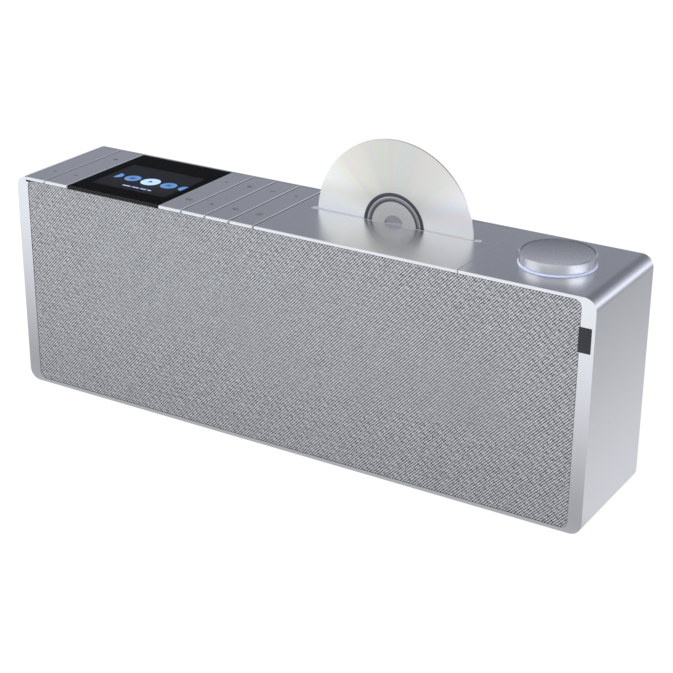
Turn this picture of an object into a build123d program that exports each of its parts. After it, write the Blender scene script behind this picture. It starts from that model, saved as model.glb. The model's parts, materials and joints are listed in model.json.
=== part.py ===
from build123d import *
from math import radians
import os

# Mini hifi system. Millimetres. The origin is under the middle of the case, on the surface it stands on:
# +X to the right seen from the front, -Y towards the front, +Z up.

# ---- Case sleeve ----
WIDTH = 458.0
DEPTH = 91.0
HEIGHT = 162.5            # case without its feet
FOOT_HEIGHT = 2.5
CORNER_R = 8.5
SIDE_WALL = 3.0
TOP_WALL = 2.6
BOTTOM_WALL = 2.6
FRONT_WALL = 2.5
SIDE_BAND = 9.8           # front band left and right of the grille
TOP_BAND = 2.2            # front band above the grille, and the thickness of the top panels
WINDOW_R = 5.0
REAR_LIP = 2.0            # strip of top wall left behind the panels
FIT_GAP = 0.3             # between panels, covers and the openings they drop into
EDGE_CHAMFER = 0.3

# ---- Top panels, from left to right ----
LEFT_KEY_WIDTHS = (18.0, 21.2)
DISPLAY_WIDTH = 81.3
RIGHT_KEY_WIDTH = 20.0
RIGHT_KEY_COUNT = 4
END_WIDTH = 94.4          # closed right end of the top, which carries the knob
END_SEAM = 0.5
PANEL_RISE = 1.2          # space under the panels for the keys to rock in

# ---- Keys ----
KEY_ANGLE = 0.6           # degrees of rocking each way
PIVOT_DROP = 7.5          # key pivot below the top face
PIVOT_R = 1.0
PIVOT_GAP = 0.06
EAR_R = 3.0
EAR_T = 2.0
EAR_INSET = 6.0
SWITCH_Y = 28.0
SWITCH_SIZE = 6.0
SWITCH_GAP = 0.1          # left between a switch and a fully pressed key
KEY_BOARD_INNER = 8.0     # key boards' inner edges in front of and behind the pivots
BOARD_T = 1.6

# ---- Top frame ----
FRAME_T = 3.6
RAIL_WIDTH = 6.0
BAR_WIDTH = 5.0
BAR_DEPTH = 8.1
GUIDE_WIDTH = 3.0
FRAME_OVERLAP = 7.0       # reach of the frame under the closed right end

# ---- Display ----
GLASS_T = 1.2
BEZEL_LIP = 0.7
BEZEL_RIM = 8.0
LCD_SIZE = (67.0, 51.0)
LCD_T = 4.2
LCD_Y = -3.0

# ---- Disc slot and disc ----
DISC_R = 60.0
DISC_HOLE_R = 7.5
DISC_T = 1.2
DISC_REST_DROP = 1.6      # disc centre below the top face as it stands half out
DISC_LOADED_DROP = 74.0   # disc centre below the top face when it is on the turntable
SLOT_BEHIND_MIDDLE = 9.1
SLOT_LENGTH = 131.4
SLOT_WIDTH = 4.4
SLOT_END_R = 1.0
FELT_GAP = 0.3            # felt to disc, each side
FELT_T = 1.3
FELT_HEIGHT = 3.0

# ---- Knob ----
KNOB_R = 24.8
KNOB_TOP = 7.5            # above the case top
KNOB_LIFT = 1.4           # underside of the dial above the case top
KNOB_WALL = 2.0
KNOB_FLOOR = 1.7
KNOB_CAP_T = 1.1
KNOB_RIM = 1.5
KNOB_CAP_SINK = 0.2
KNOB_PRESS = 0.8
RING_RIM = 0.6            # light ring beyond the dial
RING_WIDTH = 5.4
RING_T = 0.5
SHAFT_R = 3.0
SHAFT_GAP = 0.05
BUSH_R = 4.5
BUSH_RISE = 2.0
NUT_R = 8.0
ENCODER_SIZE = 14.0
ENCODER_HEIGHT = 9.0
SLIDER_R = 5.0
SLIDER_T = 1.5
SLIDER_GAP = 0.2

# ---- Grille and tag ----
CLOTH_SINK = 0.3
CLOTH_T = 0.8
GRILLE_T = 3.5
GRILLE_TOP_GAP = 0.7      # under the top panels
GRILLE_HOLE_MARGIN = 15.0
GRILLE_RIB = 8.0
GRILLE_HOLES = 4
PEG_R = 2.0
PEG_LENGTH = 4.6
PEG_GAP = 0.1
PEG_INSET = 7.5
TAG_SIZE = (8.5, 16.8)
TAG_T = 0.5
TAG_REACH = 0.9           # how far the tag laps over the grille
TAG_TOP_DROP = 19.5       # top of the tag below the case top

# ---- Baffle and loudspeakers ----
BAFFLE_GAP = 0.9          # behind the grille frame
BAFFLE_T = 5.0
SPEAKER_INSET = 57.0      # speaker axis from the side of the case
SPEAKER_DROP = 83.0       # speaker axis below the case top
BASKET_R = 39.0
BASKET_MOUTH_R = 34.0
BAFFLE_HOLE_R = 36.0
CONE_R = 28.2
CONE_DEPTH = 13.4
CONE_T = 1.0
COIL_R = 9.5
DUST_CAP_RISE = 4.0
DUST_CAP_T = 0.8
COIL_T = 0.6
COIL_LENGTH = 17.0
CONE_TRAVEL = 2.5
ROLL_T = 0.6
SHELL_T = 1.7
BASKET_DEPTH = 21.0
MAGNET_R = 27.0
MAGNET_T = 13.0
POLE_PLATE_T = 4.0
COIL_GAP = 0.35

# ---- Rear cover ----
COVER_T = 3.0
COVER_GAP = 0.2
SCREW_R = 1.5
SCREW_HEAD_R = 3.0
SCREW_HEAD_T = 1.5
SCREW_HEAD_RISE = 0.5     # heads above the cover
SCREW_SLOT_WIDTH = 0.7
SCREW_SLOT_DEPTH = 0.6
SCREW_LENGTH = 9.5
SCREW_GAP = 0.1
BOSS_SIZE = 8.0
VENT_COUNT = 12
VENT_SIZE = (2.4, 26.0)
VENT_PITCH = 7.0
PORT_X = -70.0
PORT_DROP = 64.0          # port axis below the case top
PORT_R = 17.0
PORT_WALL = 2.0
PORT_FLANGE_R = 22.0
PORT_FLANGE_T = 1.5
PORT_LENGTH = 37.0
PORT_FLARE = (1.5, 4.0)   # widening of the mouth, and its depth

# ---- Socket bay and boards ----
BAY_X = (20.0, 110.0)
BAY_Z = (28.0, 52.0)      # above the underside of the case
BAY_DEPTH = 9.5
BAY_WALL = 1.5
BOARD_Y = 19.3            # rear face of the boards in front of the rear of the case
MAIN_BOARD = (142.0, 70.0)
POWER_BOARD = (90.0, 58.0)
POWER_BOARD_X = -85.0
BOARD_FLOOR = 8.0         # boards' lower edge above the underside of the case
CHIPS = ((0.2, 14, 14), (0.45, 20, 20), (0.75, 12, 8))  # share along the main board, width, height
CHIP_T = 1.4
CHIP_DROP = 14.0
TRANSFORMER_SIZE = (30.0, 22.0, 24.0)
CAPACITOR_R = 6.0
CAPACITOR_LENGTH = 20.0
HEAT_SINK_SIZE = (32.0, 14.0, 4.0)
JACK_BORE_R = 1.8
JACK_BORE_LENGTH = 14.0
JACK_NOSE_R = 4.0
JACK_SPACING = 16.0
JACK_BODY = 11.0
USB_SIZE = (14.4, 7.0)
USB_SKIN = 0.9
USB_DEPTH = 10.0
USB_TONGUE_T = 2.0
AERIAL_R = 4.75
AERIAL_COLLAR_R = 5.6
AERIAL_BORE_R = 3.6
AERIAL_PIN_R = 0.6
AERIAL_LENGTH = 8.5
INLET_X = -110.0
INLET_Z = 30.0
INLET_SIZE = (24.0, 16.0)
INLET_MOUTH = (17.0, 8.4)
INLET_DEPTH = 12.0
INLET_PIN_R = 1.2
INLET_PIN_SPACING = 8.6

# ---- Slot loader ----
SHEET_T = 1.5
CHEEK_X = 67.0            # inner face of each cheek from the disc's middle
LOADER_FRONT = 39.1       # front plate's front face in front of the disc's mid plane
LOADER_REAR = 14.9        # cheeks' rear edge behind the disc's mid plane
LOADER_FLOOR = 79.0       # loader's underside below the turntable axis
ROLLER_DROP = 17.0        # roller axes below the case top
ROLLER_R = 5.0
ROLLER_MIDDLE_R = 4.2
ROLLER_HALF = 61.0
ROLLER_GAP = 0.2
ROLLER_SHAFT_R = 1.5
PRESSURE_R = 4.0
PULLEY_R = 8.0
MOTOR_PULLEY_R = 3.0
PULLEY_FLANGE = 1.6
PULLEY_FLANGE_T = 0.6
PULLEY_WIDTH = 3.0
BELT_T = 1.0
BELT_WIDTH = 2.4
BELT_GAP = 0.08
BELT_CENTRES = 30.0
BELT_PLANE = 3.6          # belt's middle outside the left cheek
MOTOR_R = 10.0
MOTOR_LENGTH = 26.0
MOTOR_SHAFT_R = 1.0
MOTOR_HOLE_R = 3.0
RUN_GAP = 0.05

# ---- Traverse ----
TRAVERSE_TRAVEL = 2.5
DECK_BACK = 17.1          # deck's front face in front of the disc's mid plane
DECK_HALF = 40.0
DECK_UP = 21.0
DECK_DOWN = 77.0
POST_R = 2.0
POST_HALF = 35.0
POST_UP = 15.0
POST_DOWN = 71.0
SPINDLE_MOTOR_R = 12.0
SPINDLE_MOTOR_T = 6.5
PLATTER_R = 14.0
PLATTER_T = 3.5
PLATTER_GAP = 2.6         # platter to disc with the traverse back
BOSS_R = 7.3
BOSS_HEIGHT = 1.8
ROD_R = 1.5
ROD_HALF = 18.0
ROD_LIFT = 5.5            # rod axes behind the deck
ROD_BLOCK = 8.0
ROD_BLOCK_T = 4.0
SLED_HALF = 22.0
SLED_HEIGHT = 18.0
SLED_T = 9.0
SLED_TRAVEL = 35.0
LENS_DROP = 23.0          # lens axis below the turntable axis at the disc's inner tracks
LENS_R = 4.0
LENS_T = 2.2
LENS_TRAVEL = 0.5
SCREW_X = 28.7            # lead screw from the turntable axis
SLED_MOTOR_R = 5.0
SLED_MOTOR_LENGTH = 14.0
CLAMPER_R = 15.0
CLAMPER_T = 3.0
CLAMPER_RECESS = 1.1
CLAMPER_STEM_R = 2.5
CLAMPER_GAP = 0.4
BRIDGE_HEIGHT = 22.0
BRIDGE_BACK = 7.9         # bridge's front face behind the disc's mid plane

# ---- Feet ----
FOOT_R = 7.0
FOOT_INSET_X = 34.0       # foot axes from the sides
FOOT_INSET_Y = 17.5       # foot axes from the front and rear

# ---- Places worked out from the sizes above ----
FRONT_Y = -DEPTH / 2
REAR_Y = DEPTH / 2
BASE_Z = FOOT_HEIGHT
TOP_Z = FOOT_HEIGHT + HEIGHT
CAVITY_W = WIDTH - 2 * SIDE_WALL
CAVITY_H = HEIGHT - TOP_WALL - BOTTOM_WALL
CAVITY_R = CORNER_R - SIDE_WALL
CAVITY_Z = BASE_Z + BOTTOM_WALL + CAVITY_H / 2
CEILING_Z = TOP_Z - TOP_WALL
FLOOR_Z = BASE_Z + BOTTOM_WALL
COVER_Y = REAR_Y - COVER_T

PANEL_X0 = -WIDTH / 2 + CORNER_R
PANEL_X1 = WIDTH / 2 - END_WIDTH
PANEL_BACK = REAR_Y - REAR_LIP
PANEL_Z = TOP_Z - TOP_BAND
DISPLAY_X0 = PANEL_X0 + sum(LEFT_KEY_WIDTHS)
DISPLAY_X1 = DISPLAY_X0 + DISPLAY_WIDTH
SLOT_PLATE_X0 = DISPLAY_X1 + RIGHT_KEY_COUNT * RIGHT_KEY_WIDTH
DISC_X = (SLOT_PLATE_X0 + PANEL_X1) / 2
DISC_Y = SLOT_BEHIND_MIDDLE
LOADED_Z = TOP_Z - DISC_LOADED_DROP

PIVOT_Z = TOP_Z - PIVOT_DROP
FRAME_TOP = PANEL_Z - PANEL_RISE
FRAME_Z = FRAME_TOP - FRAME_T
KNOB_X = WIDTH / 2 - END_WIDTH / 2

GRILLE_X = WIDTH / 2 - SIDE_BAND - FIT_GAP
GRILLE_Z0 = FLOOR_Z + FIT_GAP
GRILLE_Z1 = PANEL_Z - GRILLE_TOP_GAP
CLOTH_Y = FRONT_Y + CLOTH_SINK
GRILLE_Y = CLOTH_Y + CLOTH_T
GRILLE_BACK = GRILLE_Y + GRILLE_T
BAFFLE_Y = GRILLE_BACK + BAFFLE_GAP
BAFFLE_BACK = BAFFLE_Y + BAFFLE_T
SPEAKER_X = WIDTH / 2 - SPEAKER_INSET
SPEAKER_Z = TOP_Z - SPEAKER_DROP

BOARD_REAR = REAR_Y - BOARD_Y
BAY_FLOOR_Y = REAR_Y - BAY_DEPTH
BAY_MID_Z = BASE_Z + (BAY_Z[0] + BAY_Z[1]) / 2

ROLLER_Z = TOP_Z - ROLLER_DROP
ROLLER_Y = DISC_Y - DISC_T / 2 - ROLLER_GAP - ROLLER_R
PRESSURE_Y = DISC_Y + DISC_T / 2 + ROLLER_GAP + PRESSURE_R
LOADER_Y0 = DISC_Y - LOADER_FRONT
LOADER_Y1 = DISC_Y + LOADER_REAR
LOADER_Z0 = LOADED_Z - LOADER_FLOOR
CHEEK_X0 = DISC_X - CHEEK_X - SHEET_T
CHEEK_X1 = DISC_X + CHEEK_X + SHEET_T
BELT_X = CHEEK_X0 - BELT_PLANE
MOTOR_Z = ROLLER_Z - BELT_CENTRES
MOTOR_PLATE_X = BELT_X - PULLEY_WIDTH - SHEET_T

DECK_Y = DISC_Y - DECK_BACK
DECK_REAR = DECK_Y + SHEET_T
ROD_Y = DECK_REAR + ROD_LIFT
PLATTER_Y = DISC_Y - DISC_T / 2 - PLATTER_GAP
LENS_Z = LOADED_Z - LENS_DROP


# ---- Simple shapes ----
def block(x0, x1, y0, y1, z0, z1):
    """A box between two corners."""
    middle = Pos((x0 + x1) / 2, (y0 + y1) / 2, (z0 + z1) / 2)
    return middle * Box(x1 - x0, y1 - y0, z1 - z0)


def rod_x(x0, x1, y, z, r):
    """A cylinder along X."""
    return Pos((x0 + x1) / 2, y, z) * Rot(0, 90, 0) * Cylinder(r, x1 - x0)


def rod_y(x, y0, y1, z, r):
    """A cylinder along Y."""
    return Pos(x, (y0 + y1) / 2, z) * Rot(90, 0, 0) * Cylinder(r, y1 - y0)


def rod_z(x, y, z0, z1, r):
    """A cylinder along Z."""
    return Pos(x, y, (z0 + z1) / 2) * Cylinder(r, z1 - z0)


def plate_y(width, height, radius, y0, y1, x, z):
    """A rounded plate facing along Y, between y0 and y1."""
    outline = Plane.XZ * RectangleRounded(width, height, radius)
    return Pos(x, y1, z) * extrude(outline, y1 - y0)


def turned_y(points, x, z):
    """A ring turned about a line along Y, from (radius, y) points."""
    profile = make_face(Polyline(*points, close=True))
    return Pos(x, 0, z) * revolve(profile, Axis.Y)


def turned_x(points, y, z):
    """A ring turned about a line along X, from (x, radius) points."""
    profile = make_face(Polyline(*points, close=True))
    return Pos(0, y, z) * revolve(profile, Axis.X)


def top_chamfer(solid, size=EDGE_CHAMFER):
    """The solid with the edges of its highest flat face broken."""
    top = solid.faces().sort_by(Axis.Z)[-1]
    return chamfer(top.edges(), size)


def group(solids):
    return Compound(children=list(solids))


# ---- Case ----
def screw_places():
    """(x, z) of the cover screws: four up the sides, four along the floor."""
    side_x = CAVITY_W / 2 - BOSS_SIZE / 2
    low, high = FLOOR_Z + 20, CEILING_Z - 20
    floor_z = FLOOR_Z + BOSS_SIZE / 2
    places = [(x, z) for x in (-side_x, side_x) for z in (low, high)]
    places += [(CAVITY_W * share, floor_z) for share in (-0.35, -0.12, 0.12, 0.35)]
    return places


def case_sleeve():
    body = plate_y(WIDTH, HEIGHT, CORNER_R, FRONT_Y, REAR_Y, 0, BASE_Z + HEIGHT / 2)
    body -= plate_y(CAVITY_W, CAVITY_H, CAVITY_R, FRONT_Y + FRONT_WALL, REAR_Y + 1, 0, CAVITY_Z)
    window_h = PANEL_Z - FLOOR_Z
    body -= plate_y(2 * (WIDTH / 2 - SIDE_BAND), window_h, WINDOW_R, FRONT_Y - 1,
                    FRONT_Y + FRONT_WALL + 1, 0, FLOOR_Z + window_h / 2)
    body -= block(PANEL_X0, PANEL_X1, FRONT_Y - 1, PANEL_BACK, CEILING_Z - 1, TOP_Z + 1)
    body -= rod_z(KNOB_X, 0, CEILING_Z - 1, TOP_Z + 1, BUSH_R + SCREW_GAP)
    boss_y = COVER_Y - BOSS_SIZE
    for x, z in screw_places():
        half = BOSS_SIZE / 2
        body += block(x - half, x + half, boss_y, COVER_Y - COVER_GAP, z - half, z + half)
    for x, z in screw_places():
        body -= rod_y(x, boss_y - 1, COVER_Y, z, SCREW_R + SCREW_GAP)
    return body


def feet():
    foot_x, foot_y = WIDTH / 2 - FOOT_INSET_X, DEPTH / 2 - FOOT_INSET_Y
    places = [(x, y) for x in (-foot_x, foot_x) for y in (-foot_y, foot_y)]
    return group(rod_z(x, y, 0, BASE_Z, FOOT_R) for x, y in places)


def rear_cover():
    gap = COVER_GAP
    cover = plate_y(CAVITY_W - 2 * gap, CAVITY_H - 2 * gap, CAVITY_R - gap, COVER_Y, REAR_Y, 0, CAVITY_Z)
    port_z = TOP_Z - PORT_DROP
    cover -= rod_y(PORT_X, COVER_Y - 1, REAR_Y + 1, port_z, PORT_R + PORT_WALL + gap)
    cover -= rod_y(PORT_X, REAR_Y - PORT_FLANGE_T, REAR_Y + 1, port_z, PORT_FLANGE_R + gap)
    for x, z in screw_places():
        cover -= rod_y(x, COVER_Y - 1, REAR_Y + 1, z, SCREW_R + SCREW_GAP)
        cover -= rod_y(x, REAR_Y + SCREW_HEAD_RISE - SCREW_HEAD_T, REAR_Y + 1, z, SCREW_HEAD_R + gap)
    for index in range(VENT_COUNT):
        x = -SPEAKER_X + (index - (VENT_COUNT - 1) / 2) * VENT_PITCH
        cover -= plate_y(*VENT_SIZE, VENT_SIZE[0] / 2.1, COVER_Y - 1, REAR_Y + 1, x, SPEAKER_Z)
    bay_z0, bay_z1 = BASE_Z + BAY_Z[0], BASE_Z + BAY_Z[1]
    cover += block(BAY_X[0] - BAY_WALL, BAY_X[1] + BAY_WALL, BAY_FLOOR_Y - BAY_WALL, COVER_Y,
                   bay_z0 - BAY_WALL, bay_z1 + BAY_WALL)
    cover -= block(BAY_X[0], BAY_X[1], BAY_FLOOR_Y, REAR_Y + 1, bay_z0, bay_z1)
    for x, radius in socket_holes():
        cover -= rod_y(x, BAY_FLOOR_Y - BAY_WALL - 1, BAY_FLOOR_Y + 1, BAY_MID_Z, radius + gap)
    usb_x, usb_w, usb_h = usb_place()
    usb_half_w, usb_half_h = usb_w / 2 + gap, usb_h / 2 + gap
    cover -= block(usb_x - usb_half_w, usb_x + usb_half_w, BAY_FLOOR_Y - BAY_WALL - 1, BAY_FLOOR_Y + 1,
                   BAY_MID_Z - usb_half_h, BAY_MID_Z + usb_half_h)
    inlet_half_w, inlet_half_h = INLET_SIZE[0] / 2 + gap, INLET_SIZE[1] / 2 + gap
    inlet_z = BASE_Z + INLET_Z
    cover -= block(INLET_X - inlet_half_w, INLET_X + inlet_half_w, COVER_Y - 1, REAR_Y + 1,
                   inlet_z - inlet_half_h, inlet_z + inlet_half_h)
    return cover


def cover_screws():
    head_y1 = REAR_Y + SCREW_HEAD_RISE
    head_y0 = head_y1 - SCREW_HEAD_T
    slot_y = head_y1 - SCREW_SLOT_DEPTH
    across, along = SCREW_SLOT_WIDTH / 2, SCREW_HEAD_R * 0.6
    screws = []
    for x, z in screw_places():
        head = rod_y(x, head_y0, head_y1, z, SCREW_HEAD_R)
        head -= block(x - along, x + along, slot_y, head_y1 + 1, z - across, z + across)
        head -= block(x - across, x + across, slot_y, head_y1 + 1, z - along, z + along)
        screws.append(head + rod_y(x, head_y0 - SCREW_LENGTH, head_y0, z, SCREW_R))
    return group(screws)


def reflex_port():
    z = TOP_Z - PORT_DROP
    inner_y = REAR_Y - PORT_LENGTH
    flange_y = REAR_Y - PORT_FLANGE_T
    outer = PORT_R + PORT_WALL
    flare_r, flare_y = PORT_R + PORT_FLARE[0], REAR_Y - PORT_FLARE[1]
    return turned_y([(PORT_R, inner_y), (outer, inner_y), (outer, flange_y), (PORT_FLANGE_R, flange_y),
                     (PORT_FLANGE_R, REAR_Y), (flare_r, REAR_Y), (PORT_R, flare_y)], PORT_X, z)


# ---- Grille ----
def grille_cloth():
    height = GRILLE_Z1 - GRILLE_Z0
    return plate_y(2 * GRILLE_X, height, WINDOW_R - FIT_GAP, CLOTH_Y, GRILLE_Y, 0, GRILLE_Z0 + height / 2)


def peg_places():
    low, high = GRILLE_Z0 + PEG_INSET, FRAME_Z - PEG_INSET
    side = GRILLE_X - PEG_INSET
    return [(x, z) for x in (-side, 0, side) for z in (low, high)]


def grille_frame():
    height = GRILLE_Z1 - GRILLE_Z0
    middle = GRILLE_Z0 + height / 2
    frame = plate_y(2 * GRILLE_X, height, WINDOW_R - FIT_GAP, GRILLE_Y, GRILLE_BACK, 0, middle)
    for side in (-1, 1):
        frame -= rod_y(side * SPEAKER_X, GRILLE_Y - 1, GRILLE_BACK + 1, SPEAKER_Z, BASKET_R + 1)
    inner = SPEAKER_X - BASKET_R - GRILLE_RIB
    hole_width = (2 * inner - (GRILLE_HOLES + 1) * GRILLE_RIB) / GRILLE_HOLES
    hole_height = height - 2 * GRILLE_HOLE_MARGIN
    for index in range(GRILLE_HOLES):
        x = (index - (GRILLE_HOLES - 1) / 2) * (hole_width + GRILLE_RIB)
        frame -= plate_y(hole_width, hole_height, WINDOW_R, GRILLE_Y - 1, GRILLE_BACK + 1, x, middle)
    for x, z in peg_places():
        frame += rod_y(x, GRILLE_BACK, GRILLE_BACK + PEG_LENGTH, z, PEG_R)
    return frame


def grille_tag():
    x0 = WIDTH / 2 - SIDE_BAND - TAG_REACH
    z1 = TOP_Z - TAG_TOP_DROP
    return block(x0, x0 + TAG_SIZE[0], FRONT_Y - TAG_T, FRONT_Y, z1 - TAG_SIZE[1], z1)


# ---- Loudspeakers ----
def baffle():
    gap = COVER_GAP
    z0, z1 = FLOOR_Z + gap, FRAME_Z - gap
    plate = plate_y(CAVITY_W - 2 * gap, z1 - z0, CAVITY_R - gap, BAFFLE_Y, BAFFLE_BACK, 0, (z0 + z1) / 2)
    for side in (-1, 1):
        plate -= rod_y(side * SPEAKER_X, BAFFLE_Y - 1, BAFFLE_BACK + 1, SPEAKER_Z, BAFFLE_HOLE_R)
    for x, z in peg_places():
        plate -= rod_y(x, BAFFLE_Y - 1, BAFFLE_BACK + 1, z, PEG_R + PEG_GAP)
    return plate


BASKET_REAR = BAFFLE_BACK + BASKET_DEPTH + SHELL_T
MAGNET_FACE = BASKET_REAR
CONE_EDGE_Y = BAFFLE_BACK + 0.7
NECK_Y = CONE_EDGE_Y + CONE_DEPTH


def speaker_basket(x):
    front = BAFFLE_BACK
    foot_r = MAGNET_R - 2.5
    basket = turned_y([(BASKET_MOUTH_R, front), (BASKET_R, front), (BASKET_R, front + 2),
                       (BASKET_MOUTH_R + 2, front + 2), (foot_r, front + BASKET_DEPTH), (foot_r, BASKET_REAR),
                       (COIL_R + 1.5, BASKET_REAR), (COIL_R + 1.5, front + BASKET_DEPTH),
                       (foot_r - SHELL_T, front + BASKET_DEPTH), (BASKET_MOUTH_R, front + 2.8)], x, SPEAKER_Z)
    y0, y1 = front + 5, front + BASKET_DEPTH - 2
    half = COIL_R
    basket -= block(x - BASKET_R, x + BASKET_R, y0, y1, SPEAKER_Z - half, SPEAKER_Z + half)
    basket -= block(x - half, x + half, y0, y1, SPEAKER_Z - BASKET_R, SPEAKER_Z + BASKET_R)
    return basket


def speaker_magnet(x):
    """Front plate and ring magnet."""
    plate_rear = MAGNET_FACE + POLE_PLATE_T
    plate = turned_y([(COIL_R + COIL_GAP, MAGNET_FACE), (MAGNET_R - 3, MAGNET_FACE),
                      (MAGNET_R - 3, plate_rear), (COIL_R + COIL_GAP, plate_rear)], x, SPEAKER_Z)
    ring = turned_y([(COIL_R + 2.5, plate_rear), (MAGNET_R, plate_rear),
                     (MAGNET_R, plate_rear + MAGNET_T), (COIL_R + 2.5, plate_rear + MAGNET_T)], x, SPEAKER_Z)
    return [plate, ring]


def pole_piece(x):
    back = MAGNET_FACE + POLE_PLATE_T + MAGNET_T
    pole = rod_y(x, back, back + POLE_PLATE_T, SPEAKER_Z, MAGNET_R - 3)
    return pole + rod_y(x, MAGNET_FACE, back, SPEAKER_Z, COIL_R - COIL_T - COIL_GAP)


def surround(x):
    roll_r = (BASKET_MOUTH_R - CONE_R) / 2 - RUN_GAP
    middle = (BASKET_MOUTH_R + CONE_R) / 2
    y = CONE_EDGE_Y - 0.3
    ring = Pos(middle, y) * (Circle(roll_r) - Circle(roll_r - ROLL_T))
    ring -= Pos(middle, y + roll_r) * Rectangle(3 * roll_r, 2 * roll_r)
    return Pos(x, 0, SPEAKER_Z) * revolve(ring, Axis.Y)


def speaker_cone(x):
    """Cone with its dust cap."""
    cone = turned_y([(COIL_R, NECK_Y), (CONE_R, CONE_EDGE_Y + CONE_T), (CONE_R, CONE_EDGE_Y),
                     (COIL_R, NECK_Y - CONE_T)], x, SPEAKER_Z)
    dome_r = (COIL_R ** 2 + DUST_CAP_RISE ** 2) / (2 * DUST_CAP_RISE)
    cap_base = NECK_Y - 2 * CONE_T
    shell = Sphere(dome_r) - Sphere(dome_r - DUST_CAP_T)
    dome = Pos(x, cap_base - DUST_CAP_RISE + dome_r, SPEAKER_Z) * shell
    dome &= rod_y(x, cap_base - 2 * DUST_CAP_RISE, cap_base, SPEAKER_Z, 2 * COIL_R)
    return group([cone, dome])


def voice_coil(x):
    outer, inner = COIL_R, COIL_R - COIL_T
    y0, y1 = NECK_Y - 2 * CONE_T, NECK_Y - 2 * CONE_T + COIL_LENGTH
    return turned_y([(inner, y0), (outer, y0), (outer, y1), (inner, y1)], x, SPEAKER_Z)


# ---- Top frame, keys and display ----
def key_columns():
    """(name, left x, right x) of every key, left to right."""
    columns = []
    for start, widths in ((PANEL_X0, LEFT_KEY_WIDTHS), (DISPLAY_X1, [RIGHT_KEY_WIDTH] * RIGHT_KEY_COUNT)):
        x = start
        for width in widths:
            columns.append((f"key_{len(columns) + 1}", x, x + width))
            x += width
    return columns


def key(x0, x1):
    half_gap = FIT_GAP / 2
    plate = block(x0 + half_gap, x1 - half_gap, FRONT_Y, PANEL_BACK - half_gap, PANEL_Z, TOP_Z)
    plate = top_chamfer(plate)
    for x in (x0 + EAR_INSET, x1 - EAR_INSET):
        x_low = x - EAR_T / 2
        plate += rod_x(x_low, x_low + EAR_T, 0, PIVOT_Z, EAR_R)
        plate += block(x_low, x_low + EAR_T, -EAR_R, EAR_R, PIVOT_Z, PANEL_Z)
        plate -= rod_x(x_low - 1, x_low + EAR_T + 1, 0, PIVOT_Z, PIVOT_R + PIVOT_GAP)
    return plate


def pivot_rods():
    half = BAR_WIDTH / 2
    left = rod_x(PANEL_X0 + FIT_GAP, DISPLAY_X0 + half, 0, PIVOT_Z, PIVOT_R)
    right = rod_x(DISPLAY_X1 - half, SLOT_PLATE_X0 + half, 0, PIVOT_Z, PIVOT_R)
    return group([left, right])


def key_boards():
    """Four boards, in front of and behind the two pivot rods, each with its switches."""
    switch_top = PANEL_Z - SWITCH_Y * radians(KEY_ANGLE) - SWITCH_GAP
    board_z = FRAME_Z + 0.2
    board_top = board_z + BOARD_T
    outer = PANEL_BACK - RAIL_WIDTH - COVER_T
    half = SWITCH_SIZE / 2
    boards = []
    for start, end in ((PANEL_X0, DISPLAY_X0), (DISPLAY_X1, SLOT_PLATE_X0)):
        x0, x1 = start + BAR_WIDTH, end - BAR_WIDTH
        for side in (-1, 1):
            y0, y1 = sorted((side * KEY_BOARD_INNER, side * outer))
            board = block(x0, x1, y0, y1, board_z, board_top)
            y = side * SWITCH_Y
            for _, left, right in key_columns():
                middle = (left + right) / 2
                if x0 < middle < x1:
                    board += block(middle - half, middle + half, y - half, y + half, board_top, switch_top)
            boards.append(board)
    return group(boards)


def top_frame():
    """Rails, cross bars and slot guides under the top panels."""
    x0, x1 = PANEL_X0 + FIT_GAP, PANEL_X1 + FRAME_OVERLAP
    front0 = GRILLE_BACK + FIT_GAP
    front1 = front0 + RAIL_WIDTH - 2
    rear1 = COVER_Y - FIT_GAP
    rear0 = rear1 - RAIL_WIDTH
    frame = block(x0, x1, front0, front1, FRAME_Z, FRAME_TOP)
    frame += block(x0, x1, rear0, rear1, FRAME_Z, FRAME_TOP)
    half = BAR_WIDTH / 2
    bar_front = BAFFLE_BACK + 0.5
    for x in (x0 + half - 0.5, DISPLAY_X0, DISPLAY_X1, SLOT_PLATE_X0, PANEL_X1):
        left = max(x - half, x0)
        frame += block(left, x + half, bar_front, rear1, FRAME_TOP - BAR_DEPTH, FRAME_TOP)
        frame += block(left, x + half, front0, bar_front, FRAME_Z, FRAME_TOP)
    guide = SLOT_WIDTH / 2
    for y0 in (DISC_Y - guide - GUIDE_WIDTH, DISC_Y + guide):
        frame += block(SLOT_PLATE_X0, PANEL_X1, y0, y0 + GUIDE_WIDTH, FRAME_Z, FRAME_TOP)
    frame -= rod_x(x0 - 1, SLOT_PLATE_X0 + BAR_WIDTH, 0, PIVOT_Z, PIVOT_R + RUN_GAP)
    return frame


def display_bezel():
    gap = FIT_GAP / 2
    x0, x1 = DISPLAY_X0 + gap, DISPLAY_X1 - gap
    glass_z = TOP_Z - GLASS_T
    tray = block(x0, x1, FRONT_Y, PANEL_BACK - gap, PANEL_Z, glass_z)
    tray += block(x0, x1, FRONT_Y, FRONT_Y + BEZEL_LIP, PANEL_Z, TOP_Z)
    middle = (x0 + x1) / 2
    half_w, half_d = LCD_SIZE[0] / 2 + gap, LCD_SIZE[1] / 2 + gap
    tray -= block(middle - half_w, middle + half_w, LCD_Y - half_d, LCD_Y + half_d, PANEL_Z - 1, TOP_Z)
    for left in (x0, x1 - BAR_WIDTH / 2 + gap):
        tray += block(left, left + BAR_WIDTH / 2 - gap, BAFFLE_BACK + 1, -EAR_R - 1, FRAME_TOP, PANEL_Z)
        tray += block(left, left + BAR_WIDTH / 2 - gap, EAR_R + 1, COVER_Y - RAIL_WIDTH, FRAME_TOP, PANEL_Z)
    return tray


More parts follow.
